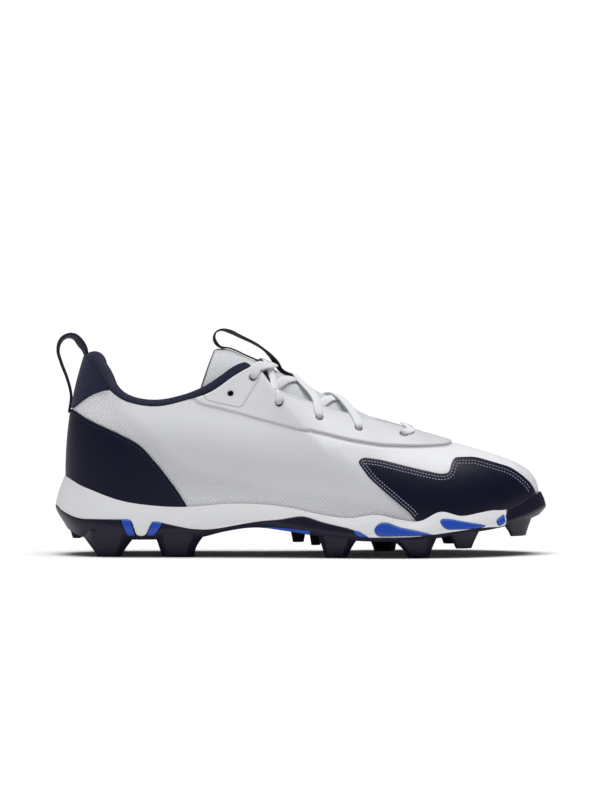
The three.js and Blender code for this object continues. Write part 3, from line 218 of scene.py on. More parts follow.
# Pull loops, forward and up from where they are sewn on (mm)
HEEL_LOOP = (
    (0, 0), (-2.4, 10.4), (-6.1, 20.2), (-8, 27.5), (-7.3, 31.8), (-4.9, 35.3), (-1.2, 36.8), (2.4, 36),
    (6.1, 31.8), (8.6, 27.6), (9.2, 24.2),
)
TONGUE_LOOP = (
    (0, 0), (-4.4, 1.9), (-8.2, 4.1), (-10.8, 8), (-14.4, 12.6), (-19.4, 17.2), (-24, 20.2),
    (-32.6, 24.4), (-40.4, 28), (-44.2, 28.8), (-47.8, 27.6), (-49.2, 24.8), (-48.6, 21.6),
)
# Coloured inserts of the sole's side in the side view: at, up
INSERTS = {
    "heel_rear": ((0.133, 0.183), (0.153, 0.183), (0.163, 0.104), (0.147, 0.104)),
    "heel_front": ((0.198, 0.174), (0.22, 0.168), (0.202, 0.104), (0.186, 0.104)),
    "ball_rear": ((0.608, 0.137), (0.618, 0.133), (0.639, 0.104), (0.624, 0.102), (0.612, 0.116)),
    "ball_leaf": (
        (0.651, 0.135), (0.655, 0.154), (0.665, 0.173), (0.678, 0.173), (0.704, 0.149), (0.735, 0.135),
        (0.773, 0.113), (0.672, 0.108), (0.659, 0.108),
    ),
    "front_leaf": (
        (0.786, 0.178), (0.79, 0.19), (0.806, 0.188), (0.837, 0.173), (0.882, 0.154), (0.863, 0.142),
        (0.802, 0.14), (0.792, 0.154),
    ),
    "toe": ((0.902, 0.178), (0.918, 0.207), (0.9204, 0.164), (0.908, 0.149), (0.904, 0.159)),
}
# Soft troughs (positive) and ridges of the upper: a line in the side view, width and depth (mm)
CREASES = (
    (((0.3, 0.47), (0.36, 0.44), (0.44, 0.42), (0.52, 0.41), (0.6, 0.4)), 15.0, 2.0),
    (((0.33, 0.5), (0.4, 0.48), (0.48, 0.465), (0.55, 0.46)), 5.0, 0.4),
    (((0.2, 0.66), (0.28, 0.63), (0.36, 0.6), (0.46, 0.57), (0.55, 0.53), (0.62, 0.5)), 13.0, -1.5),
    (((0.575, 0.5), (0.588, 0.44), (0.6, 0.36)), 2.6, 0.45),
    (((0.54, 0.4), (0.56, 0.36), (0.575, 0.31)), 3.5, 0.25),
    (((0.33, 0.36), (0.42, 0.345), (0.52, 0.33)), 5.0, -0.3),
    (((0.57, 0.46), (0.61, 0.42), (0.65, 0.37)), 9.0, -1.0),
    (((0.6, 0.3), (0.64, 0.26), (0.69, 0.2)), 8.0, 0.8),
    (((0.6, 0.5), (0.66, 0.49), (0.72, 0.5)), 4.0, 0.2),
)


def outline(rows: Sequence[Sequence[float]]) -> np.ndarray:
    """Turns a table of shares into points of the side view.

    Args:
        rows: Shares of LENGTH and HEIGHT.

    Returns:
        An array of x and z in millimetres.
    """
    table = np.array(rows, float)
    return np.column_stack([(table[:, 0] - 0.5) * LENGTH, table[:, 1] * HEIGHT])


def eased(points: np.ndarray, radius: float, steps: int = 5) -> np.ndarray:
    """Rounds the corners of a closed outline.

    Args:
        points: The outline's corners.
        radius: How far from a corner the rounding starts, at most.
        steps: Points on each rounding.

    Returns:
        The corners of the rounded outline.
    """
    result = []
    count = len(points)
    for i, corner in enumerate(points):
        before, after = points[i - 1] - corner, points[(i + 1) % count] - corner
        room = min(radius, 0.45 * np.linalg.norm(before), 0.45 * np.linalg.norm(after))
        start = corner + before / np.linalg.norm(before) * room
        end = corner + after / np.linalg.norm(after) * room
        for part in np.linspace(0, 1, steps):
            result.append(start * (1 - part) ** 2 + corner * 2 * part * (1 - part) + end * part**2)
    return np.array(result)


def line_distance(places: np.ndarray, line: np.ndarray, closed: bool) -> np.ndarray:
    """Measures how far places are from a line.

    Args:
        places: Points of the side view.
        line: The line's points.
        closed: Whether it ends where it starts.

    Returns:
        The distances.
    """
    best = np.full(len(places), 1e9)
    ends = np.roll(line, -1, axis=0) if closed else line[1:]
    for start, end in zip(line, ends):
        along = end - start
        size = float(along @ along)
        if size < 1e-12:
            continue
        part = np.clip((places - start) @ along / size, 0, 1)
        best = np.minimum(best, np.linalg.norm(places - start - part[:, None] * along, axis=1))
    return best


def depth_inside(places: np.ndarray, line: np.ndarray) -> np.ndarray:
    """Measures how deep places are inside a closed outline.

    Args:
        places: Points of the side view.
        line: The outline's corners.

    Returns:
        Distances to the outline, negative outside it.
    """
    inside = np.zeros(len(places), bool)
    for (x0, z0), (x1, z1) in zip(line, np.roll(line, -1, axis=0)):
        spans = (z0 > places[:, 1]) != (z1 > places[:, 1])
        if z1 != z0:
            inside ^= spans & (places[:, 0] < (x1 - x0) * (places[:, 1] - z0) / (z1 - z0) + x0)
    return np.where(inside, 1, -1) * line_distance(places, line, True)


def ease(value: np.ndarray | float) -> np.ndarray | float:
    """Eases a share smoothly from 0 to 1."""
    share = np.clip(value, 0, 1)
    return share * share * (3 - 2 * share)


class Curve:
    """A smooth line through one column of a table."""

    def __init__(self, rows: Sequence[Sequence[float]], column: int, level: bool = False) -> None:
        """Fits the line.

        Args:
            rows: The table, with the places in its first column.
            column: The column of values.
            level: Whether the line is level at its ends.
        """
        table = np.array(rows, float)
        self.at, self.value = table[:, 0], table[:, column]
        self.span = np.diff(self.at)
        rate = np.diff(self.value) / self.span
        self.slope = np.zeros(len(self.at))
        weight = self.span[:-1] + self.span[1:]
        self.slope[1:-1] = (rate[:-1] * self.span[1:] + rate[1:] * self.span[:-1]) / weight
        if not level:
            self.slope[0], self.slope[-1] = rate[0], rate[-1]

    def __call__(self, place: np.ndarray | float) -> np.ndarray:
        """Returns the line's height at a place."""
        x = np.clip(place, self.at[0], self.at[-1])
        i = np.clip(np.searchsorted(self.at, x, side="right") - 1, 0, len(self.span) - 1)
        u = (x - self.at[i]) / self.span[i]
        v = 1 - u
        ends = self.value[i] * v * v * (1 + 2 * u) + self.value[i + 1] * u * u * (3 - 2 * u)
        return ends + self.span[i] * u * v * (self.slope[i] * v - self.slope[i + 1] * u)


def smooth_line(points: Sequence[Sequence[float]], count: int, closed: bool = False) -> np.ndarray:
    """Draws a smooth line through points.

    Args:
        points: The points it passes through.
        count: How many points it gets, evenly spaced.
        closed: Whether it ends where it starts.

    Returns:
        Its points.
    """
    line = np.asarray(points, float)
    pad = 3
    if closed:
        line = np.vstack([line[-pad:], line, line[: pad + 1]])
    run = np.r_[0, np.cumsum(np.linalg.norm(np.diff(line, axis=0), axis=1))]
    start, end = (run[pad], run[-pad - 1]) if closed else (0, run[-1])
    places = np.linspace(start, end, count, endpoint=not closed)
    return np.column_stack([Curve(np.column_stack([run, column]), 1)(places) for column in line.T])


class Last:
    """The form that the upper is drawn over: turn runs once round it from the heel's middle, outer side
    first, and climb from its bottom edge to its top one."""

    centre = Curve(PLAN, 1)
    half = Curve(PLAN, 2)
    edge_at = Curve(COLUMNS, 1, True)
    edge_gap = Curve(COLUMNS, 2)
    edge_up = Curve(COLUMNS, 3, True)
    rise = Curve(COLUMNS, 4, True)
    splay = Curve(COLUMNS, 5, True)
    reach = Curve(COLUMNS, 6, True)
    dip = Curve(COLUMNS, 7, True)
    footbed = Curve(SOLE, 1)
    lip = Curve(SOLE, 2)
    under = Curve(SOLE, 3)

    def __init__(self) -> None:
        """Tabulates where the sole's lip lies on the upper."""
        self.turns = np.linspace(0, 1, 721)
        low, high = np.zeros(721), np.full(721, 0.7)
        for _ in range(24):
            middle = (low + high) / 2
            point = self.skin(self.turns, middle)
            below = point[:, 2] < self.lip(point[:, 0] / LENGTH + 0.5) * HEIGHT
            low, high = np.where(below, middle, low), np.where(below, high, middle)
        self.lip_climbs = low

    def side_of(self, turn: np.ndarray) -> tuple[np.ndarray, np.ndarray]:
        """Returns k, from heel 0 to toe 1, and the side, -1 for the outer one."""
        share = np.mod(turn, 1.0)
        outer = share <= 0.5
        return np.where(outer, 2 * share, 2 - 2 * share), np.where(outer, -1.0, 1.0)

    def plan(self, turn: np.ndarray) -> np.ndarray:
        """Returns the upper's bottom edge in plan."""
        k, side = self.side_of(turn)
        at = (1 - np.cos(np.pi * k)) / 2

        def rounded(distance: np.ndarray, length: float) -> np.ndarray:
            """Rounds an end of the plan."""
            return np.sqrt(np.clip(1 - (1 - np.clip(distance / length, 0, 1)) ** 2, 0, 1))

        half = self.half(at) * rounded(at, HEEL_ROUND) * rounded(1 - at, TOE_ROUND)
        x = (HEEL_BACK + (TOE_FRONT - HEEL_BACK) * at - 0.5) * LENGTH
        return np.column_stack([x, (self.centre(at) + side * half) * BALL_WIDTH])

    def plan_normal(self, turn: np.ndarray) -> np.ndarray:
        """Returns the outward direction of that edge in plan."""
        along = self.plan(turn + 0.002) - self.plan(turn - 0.002)
        out = np.column_stack([along[:, 1], -along[:, 0]])
        return out / np.linalg.norm(out, axis=1, keepdims=True)

    def skin(self, turn: np.ndarray, climb: np.ndarray) -> np.ndarray:
        """Returns points of the upper's outer face."""
        turn, climb = np.broadcast_arrays(np.asarray(turn, float), np.asarray(climb, float))
        k, side = self.side_of(turn)
        foot, out = self.plan(turn), self.plan_normal(turn)
        start = np.column_stack([foot, self.footbed(foot[:, 0] / LENGTH + 0.5) * HEIGHT])
        edge_x = (self.edge_at(k) - 0.5) * LENGTH
        share = (edge_x / LENGTH + 0.5 - HEEL_BACK) / (TOE_FRONT - HEEL_BACK)
        edge_y = (self.centre(share) + side * self.edge_gap(k)) * BALL_WIDTH
        end = np.column_stack([edge_x, edge_y, self.edge_up(k) * HEIGHT])
        rise, reach = self.rise(k) * HEIGHT, self.reach(k) * HEIGHT
        splay, dip = self.splay(k) * rise, np.radians(self.dip(k))
        low = start + np.column_stack([out * splay[:, None], rise])
        level = start[:, :2] - end[:, :2]
        level /= np.linalg.norm(level, axis=1, keepdims=True)
        high = end + np.column_stack([level * (reach * np.cos(dip))[:, None], -reach * np.sin(dip)])
        t = climb[:, None]
        s = 1 - t
        return start * s**3 + low * 3 * s * s * t + high * 3 * s * t * t + end * t**3

    def normal(self, turn: np.ndarray, climb: np.ndarray) -> np.ndarray:
        """Returns outward normals of that face."""
        step = 0.003
        around = self.skin(turn + step, climb) - self.skin(turn - step, climb)
        up = self.skin(turn, np.minimum(1, climb + step)) - self.skin(turn, np.maximum(0, climb - step))
        out = np.cross(around, up)
        return out / np.linalg.norm(out, axis=1, keepdims=True)

    def off(self, turn: np.ndarray, climb: np.ndarray, offset: np.ndarray | float) -> np.ndarray:
        """Returns points moved out of that face by an offset."""
        turn, climb = np.broadcast_arrays(np.atleast_1d(turn) * 1.0, np.atleast_1d(climb) * 1.0)
        offset = np.broadcast_to(offset, turn.shape)
        return self.skin(turn, climb) + self.normal(turn, climb) * offset[:, None]

    def lip_climb(self, turn: np.ndarray) -> np.ndarray:
        """Returns how far up the upper the sole's lip lies."""
        return np.interp(np.mod(turn, 1.0), self.turns, self.lip_climbs)

    def climb_below(self, turn: float, depth: float) -> float:
        """Returns the climb a depth below the top edge, measured along the face."""
        climbs = np.linspace(1, 0, 201)
        points = self.skin(np.full(201, turn), climbs)
        run = np.r_[0, np.cumsum(np.linalg.norm(np.diff(points, axis=0), axis=1))]
        return float(np.interp(depth, run, climbs))

    def edge_distance(self, turn: np.ndarray, climb: np.ndarray) -> np.ndarray:
        """Returns distances from points of the face to its top edge."""
        near = self.skin(turn, np.maximum(0, climb - 0.01)) - self.skin(turn, np.minimum(1, climb + 0.01))
        rate = np.linalg.norm(near, axis=1) / (np.minimum(1, climb + 0.01) - np.maximum(0, climb - 0.01))
        return (1 - climb) * rate

    def creased(self, places: np.ndarray) -> np.ndarray:
        """Returns how far the soft troughs and ridges move the upper's face inwards."""
        depth = np.zeros(len(places))
        for rows, width, sink in CREASES:
            line = smooth_line(outline(rows), 16)
            depth += sink * np.exp(-((line_distance(places, line, False) / width) ** 2))
        return depth


LAST = Last()


def turn_of(k: float, side: float) -> float:
    """Returns the turn of a column on one side."""
    return k / 2 if side < 0 else 1 - k / 2


def only(piece: bpy.types.Object) -> None:
    """Selects one object and makes it active."""
    bpy.ops.object.select_all(action="DESELECT")
    piece.select_set(True)
    bpy.context.view_layer.objects.active = piece


def flat_grid(name: str, columns: int, rows: int) -> bpy.types.Object:
    """Adds a flat grid that is then laid over a form.

    Args:
        name: The piece's name.
        columns: Cells along X.
        rows: Cells along Y.

    Returns:
        The new object, with corners at 0 and 1.
    """
    bpy.ops.object.select_all(action="DESELECT")
    bpy.ops.mesh.primitive_grid_add(
        x_subdivisions=columns, y_subdivisions=rows, size=1, location=(0.5, 0.5, 0)
    )
    piece = bpy.context.object
    bpy.ops.object.transform_apply(location=True)
    piece.name = piece.data.name = name
    return piece


def corners(piece: bpy.types.Object) -> np.ndarray:
    """Returns the places of a mesh's vertices."""
    places = np.zeros(len(piece.data.vertices) * 3)
    piece.data.vertices.foreach_get("co", places)
    return places.reshape(-1, 3)


def put(piece: bpy.types.Object, places: np.ndarray) -> None:
    """Moves a mesh's vertices to places in millimetres."""
    piece.data.vertices.foreach_set("co", (np.asarray(places) * MM).ravel())
    piece.data.update()


def store(piece: bpy.types.Object, name: str, values: np.ndarray) -> None:
    """Stores a value or vector on each vertex, for the finish to read.

    Args:
        piece: The piece.
        name: The attribute's name.
        values: One number or three for each vertex.
    """
    kind, key = ("FLOAT", "value") if values.ndim == 1 else ("FLOAT_VECTOR", "vector")
    layer = piece.data.attributes.new(name, kind, "POINT")
    layer.data.foreach_set(key, np.asarray(values, float).ravel())


def merge(piece: bpy.types.Object, distance: float = 0.002) -> None:
    """Joins vertices that lie together and points all faces outwards.

    Args:
        piece: The piece.
        distance: How close they lie, in millimetres.
    """
    only(piece)
    bpy.ops.object.mode_set(mode="EDIT")
    bpy.ops.mesh.select_all(action="SELECT")
    bpy.ops.mesh.remove_doubles(threshold=distance * MM)
    bpy.ops.mesh.normals_make_consistent(inside=False)
    bpy.ops.object.mode_set(mode="OBJECT")


def drop_crumbs(piece: bpy.types.Object) -> None:
    """Drops every loose part of a mesh but the largest."""
    mesh = bmesh.new()
    mesh.from_mesh(piece.data)
    left, parts = set(mesh.verts), []
    while left:
        part, front = set(), {left.pop()}
        while front:
            part |= front
            front = {line.other_vert(vert) for vert in front for line in vert.link_edges} - part
        left -= part
        parts.append(part)
    parts.sort(key=len)
    bmesh.ops.delete(mesh, geom=[vert for part in parts[:-1] for vert in part], context="VERTS")
    mesh.to_mesh(piece.data)
    mesh.free()


def smooth(piece: bpy.types.Object, angle: float = 40.0) -> None:
    """Shades a piece smooth, with edges sharper than an angle left crisp."""
    only(piece)
    bpy.ops.object.shade_smooth_by_angle(angle=math.radians(angle))


def refill(piece: bpy.types.Object, places: np.ndarray, faces: Sequence[Sequence[int]]) -> None:
    """Gives a piece a new mesh.

    Args:
        piece: The piece.
        places: Its vertices in millimetres.
        faces: Its faces.
    """
    piece.data.clear_geometry()
    piece.data.from_pydata((np.asarray(places) * MM).tolist(), [], [list(face) for face in faces])
    piece.data.validate()
    piece.data.update()


Place = Callable[[np.ndarray, np.ndarray, np.ndarray], np.ndarray]
Measure = Callable[[np.ndarray, np.ndarray, np.ndarray], np.ndarray]


@dataclass
class Sheet:
    """A sheet cut out of a curved face along the line where a measure is zero.

    Attributes:
        name: The piece's name.
        place: Gives points for u, v and an offset.
        inside: Gives how deep a point lies inside the outline, from u, v and its place.
        u: Range of u and cells along it.
        v: Places of v, row by row.
        thick: Offset of the outer face.
        sink: Offset of the inner face.
        radius: Rounding of the cut edge.
        levels: Depths inside the outline where the mesh gets a line of its own.
        relief: Gives how far out the face is moved.
        marks: Further measures, each with the values where the mesh gets a line.
        fine: Gives how far a point is from where the mesh is finer.
    """

    name: str
    place: Place
    inside: Measure
    u: tuple[float, float, int]
    v: np.ndarray
    thick: float = OVERLAY + GAP
    sink: float = -0.3
    radius: float = 0.8
    levels: tuple[float, ...] = (0.0, 0.22, 0.55, 1.1)
    relief: Measure | None = None
    marks: tuple[tuple[Measure, tuple[float, ...]], ...] = ()
    fine: Measure | None = None
    found: dict[str, np.ndarray] = field(default_factory=dict)

    def profile(self, edge: np.ndarray) -> np.ndarray:
        """Returns how far out the outer face is at a depth inside the outline."""
        share = np.clip(edge / self.radius, 0, 1)
        low = min(self.sink + 0.1, self.thick)
        return low + (self.thick - low) * (0.35 + 0.65 * np.sqrt(1 - (1 - share) ** 2))

    def spots(self, mesh: bmesh.types.BMesh) -> tuple[np.ndarray, np.ndarray, np.ndarray]:
        """Returns u, v and the place on the face of each corner of a flat grid."""
        unit = np.array([vert.co[:2] for vert in mesh.verts])
        low, high, _ = self.u
        u = low + (high - low) * unit[:, 0]
        v = np.interp(unit[:, 1], np.linspace(0, 1, len(self.v)), self.v)
        return u, v, self.place(u, v, np.zeros(len(u)))

    def build(self) -> bpy.types.Object:
        """Cuts the sheet.

        Returns:
            The finished piece, closed and with its u, v and depth in found.
        """
        piece = flat_grid(self.name, self.u[2], len(self.v) - 1)
        mesh = bmesh.new()
        mesh.from_mesh(piece.data)
        u, v, base = self.spots(mesh)
        for reach in (2.4, 1.2) if self.fine else ():
            near = np.abs(self.fine(u, v, base)) < reach
            lines = [line for line in mesh.edges if near[line.verts[0].index] or near[line.verts[1].index]]
            bmesh.ops.subdivide_edges(mesh, edges=lines, cuts=1, use_grid_fill=True)
            mesh.verts.index_update()
            u, v, base = self.spots(mesh)
        edge = self.inside(u, v, base)
        more = [measure(u, v, base) for measure, _ in self.marks]
        keys = ["u", "v", "edge", *(f"mark_{i}" for i in range(len(more)))]
        names = [mesh.verts.layers.float.new(key) for key in keys]
        for vert, values in zip(mesh.verts, zip(*(row.tolist() for row in (u, v, edge, *more)))):
            for layer, value in zip(names, values):
                vert[layer] = value
        for level in self.levels:
            self.split(mesh, names[2], level)
        for layer, (_, levels) in zip(names[3:], self.marks):
            for level in levels:
                self.split(mesh, layer, level)
        names = names[:3]
        gone = [vert for vert in mesh.verts if vert[names[2]] < -1e-4]
        bmesh.ops.delete(mesh, geom=gone, context="VERTS")
        u, v, edge = (np.array([vert[layer] for vert in mesh.verts]) for layer in names)
        for vert, spot in zip(mesh.verts, self.place(u, v, np.full(len(u), self.thick))):
            vert.co = spot
        bmesh.ops.remove_doubles(mesh, verts=mesh.verts, dist=0.01)
        u, v, edge = (np.array([vert[layer] for vert in mesh.verts]) for layer in names)
        mesh.verts.index_update()
        out = self.profile(edge)
        if self.relief is not None:
            out = out + self.relief(u, v, self.place(u, v, np.zeros(len(u))))
        count = len(u)
        places = np.vstack([self.place(u, v, out), self.place(u, v, np.full(count, self.sink))])
        faces = [[vert.index for vert in face.verts] for face in mesh.faces]
        rims = []
        for line in mesh.edges:
            if line.is_boundary:
                loop = line.link_loops[0]
                a, b = loop.vert.index, loop.link_loop_next.vert.index
                rims.append([b, a, a + count, b + count])
        mesh.free()
        behind = [[i + count for i in reversed(face)] for face in faces]
        refill(piece, places, faces + behind + rims)
        self.found = {"u": np.r_[u, u], "v": np.r_[v, v], "edge": np.r_[edge, edge]}
        merge(piece, 0.0)
        smooth(piece, 50)
        return piece

    @staticmethod
    def split(mesh: bmesh.types.BMesh, layer: bmesh.types.BMLayerItem, level: float) -> None:
        """Gives a mesh a line of edges where a layer has one value.

        Args:
            mesh: The mesh.
            layer: The layer of values.
            level: The value.
        """
        on_line = {}
        for line in list(mesh.edges):
            a, b = line.verts
            rise_a, rise_b = a[layer] - level, b[layer] - level
            if rise_a * rise_b >= 0:
                continue
            part = rise_a / (rise_a - rise_b)
            if part < 0.06:
                vert = a
            elif part > 0.94:
                vert = b
            else:
                _, vert = bmesh.utils.edge_split(line, a, part)
            vert[layer] = level
            on_line[vert] = True
        bmesh.ops.connect_verts(mesh, verts=list(on_line), check_degenerate=True)


class Grain(Enum):
    """Surface patterns of the shoe's materials."""

    LEATHER = "leather"
    DOTTED = "dotted"
    KNIT = "knit"
    MESH = "mesh"
    WOVEN = "woven"
    MOULDED = "moulded"
    THREAD = "thread"


class Graph:
    """Builds a material's nodes."""

    def __init__(self, name: str) -> None:
        """Starts a material with an empty shader.

        Args:
            name: The material's name.
        """
        self.material = bpy.data.materials.new(name)
        self.material.use_nodes = True
        self.tree = self.material.node_tree
        self.tree.nodes.clear()
        self.shader = self.tree.nodes.new("ShaderNodeBsdfPrincipled")
        end = self.tree.nodes.new("ShaderNodeOutputMaterial")
        self.tree.links.new(self.shader.outputs[0], end.inputs[0])

    def feed(self, socket: bpy.types.NodeSocket, value: object) -> None:
        """Links a socket or sets its number."""
        if isinstance(value, bpy.types.NodeSocket):
            self.tree.links.new(value, socket)
        elif value is not None:
            socket.default_value = value

    def math(self, kind: str, a: object, b: object = None, c: object = None) -> bpy.types.NodeSocket:
        """Adds a sum, product or other function of up to three numbers.

        Args:
            kind: The function's name in Blender.
            a: First number or socket.
            b: Second one.
            c: Third one.

        Returns:
            The result's socket.
        """
        node = self.tree.nodes.new("ShaderNodeMath")
        node.operation = kind
        for socket, value in zip(node.inputs, (a, b, c)):
            self.feed(socket, value)
        return node.outputs[0]

    def object_place(self) -> bpy.types.NodeSocket:
        """Returns the place on the object."""
        return self.tree.nodes.new("ShaderNodeTexCoord").outputs["Object"]

    def attribute(self, name: str, vector: bool = False) -> bpy.types.NodeSocket:
        """Returns a value that the mesh stores."""
        node = self.tree.nodes.new("ShaderNodeAttribute")
        node.attribute_name = name
        return node.outputs["Vector" if vector else "Fac"]

    def noise(self, place: bpy.types.NodeSocket, size: float, detail: float = 3.0) -> bpy.types.NodeSocket:
        """Adds cloudy noise with blotches of a size in millimetres."""
        node = self.tree.nodes.new("ShaderNodeTexNoise")
        self.feed(node.inputs["Vector"], place)
        node.inputs["Scale"].default_value = 1 / (size * MM)
        node.inputs["Detail"].default_value = detail
        return node.outputs["Fac"]

    def cells(self, place: bpy.types.NodeSocket, size: float) -> bpy.types.NodeSocket:
        """Adds rounded pebbles of a size in millimetres."""
        node = self.tree.nodes.new("ShaderNodeTexVoronoi")
        node.feature = "SMOOTH_F1"
        self.feed(node.inputs["Vector"], place)
        node.inputs["Scale"].default_value = 1 / (size * MM)
        return node.outputs["Distance"]

    def split(self, vector: bpy.types.NodeSocket) -> list[bpy.types.NodeSocket]:
        """Returns a vector's three parts."""
        node = self.tree.nodes.new("ShaderNodeSeparateXYZ")
        self.feed(node.inputs[0], vector)
        return list(node.outputs)

    def turned(self, vector: bpy.types.NodeSocket, degrees: float) -> bpy.types.NodeSocket:
        """Turns a vector about its third axis."""
        node = self.tree.nodes.new("ShaderNodeMapping")
        self.feed(node.inputs["Vector"], vector)
        node.inputs["Rotation"].default_value = (0, 0, math.radians(degrees))
        return node.outputs[0]

    def stretched(
        self, vector: bpy.types.NodeSocket, sizes: tuple[float, float, float], degrees: float
    ) -> bpy.types.NodeSocket:
        """Stretches a pattern.

        Args:
            vector: Places.
            sizes: How much longer it gets each way.
            degrees: How far it is turned about Y first.

        Returns:
            The stretched places.
        """
        node = self.tree.nodes.new("ShaderNodeMapping")
        self.feed(node.inputs["Vector"], vector)
        node.inputs["Rotation"].default_value = (0, math.radians(degrees), 0)
        node.inputs["Scale"].default_value = tuple(1 / size for size in sizes)
        return node.outputs[0]

    def lattice(
        self, vector: bpy.types.NodeSocket, pitch: tuple[float, float], degrees: float, radius: float
    ) -> bpy.types.NodeSocket:
        """Adds a lattice of round dots.

        Args:
            vector: Places on the surface in metres.
            pitch: Distance from dot to dot both ways in millimetres.
            degrees: The lattice's angle.
            radius: A dot's radius, as a share of the pitch.

        Returns:
            A socket that is 1 in the middle of a dot and 0 between them.
        """
        across, along, _ = self.split(self.turned(vector, degrees))
        parts = []
        for value, size in zip((across, along), pitch):
            cell = self.math("FRACT", self.math("DIVIDE", value, size * MM))
            parts.append(self.math("POWER", self.math("ABSOLUTE", self.math("SUBTRACT", cell, 0.5)), 2.0))
        away = self.math("SQRT", self.math("ADD", *parts))
        fall = self.math("DIVIDE", self.math("SUBTRACT", radius, away), radius)
        return self.math("SMOOTH_MIN", self.math("MAXIMUM", self.math("MULTIPLY", fall, 2.2), 0.0), 1.0, 0.2)

    def blend(self, part: object, a: Sequence[float], b: Sequence[float]) -> bpy.types.NodeSocket:
        """Blends two colours.

        Args:
            part: How much of the second one there is.
            a: First colour.
            b: Second colour.

        Returns:
            The blend's socket.
        """
        node = self.tree.nodes.new("ShaderNodeMix")
        node.data_type = "RGBA"
        self.feed(node.inputs["Factor"], part)
        for socket, value in ((node.inputs[6], a), (node.inputs[7], b)):
            self.feed(socket, value if isinstance(value, bpy.types.NodeSocket) else (*value, 1))
        return node.outputs[2]

    def scaled(self, colour: bpy.types.NodeSocket, factor: bpy.types.NodeSocket) -> bpy.types.NodeSocket:
        """Multiplies a colour by a number."""
        node = self.tree.nodes.new("ShaderNodeVectorMath")
        node.operation = "SCALE"
        self.feed(node.inputs[0], colour)
        self.feed(node.inputs["Scale"], factor)
        return node.outputs[0]

    def bump(self, height: bpy.types.NodeSocket, depth: float, strength: float = 1.0) -> None:
        """Adds relief of a depth in millimetres over what is there.

        Args:
            height: The relief, from 0 to 1.
            depth: How deep it is.
            strength: How strongly it shows.
        """
        node = self.tree.nodes.new("ShaderNodeBump")
        node.inputs["Strength"].default_value = strength
        node.inputs["Distance"].default_value = depth * MM
        self.feed(node.inputs["Height"], height)
        before = self.shader.inputs["Normal"].links
        if before:
            self.feed(node.inputs["Normal"], before[0].from_socket)
        self.feed(self.shader.inputs["Normal"], node.outputs[0])


def linear(red: int, green: int, blue: int) -> tuple[float, float, float]:
    """Turns a screen colour into a linear one."""

    def one(value: int) -> float:
        """Turns one channel."""
        share = value / 255
        return share / 12.92 if share <= 0.04045 else ((share + 0.055) / 1.055) ** 2.4

    return one(red), one(green), one(blue)


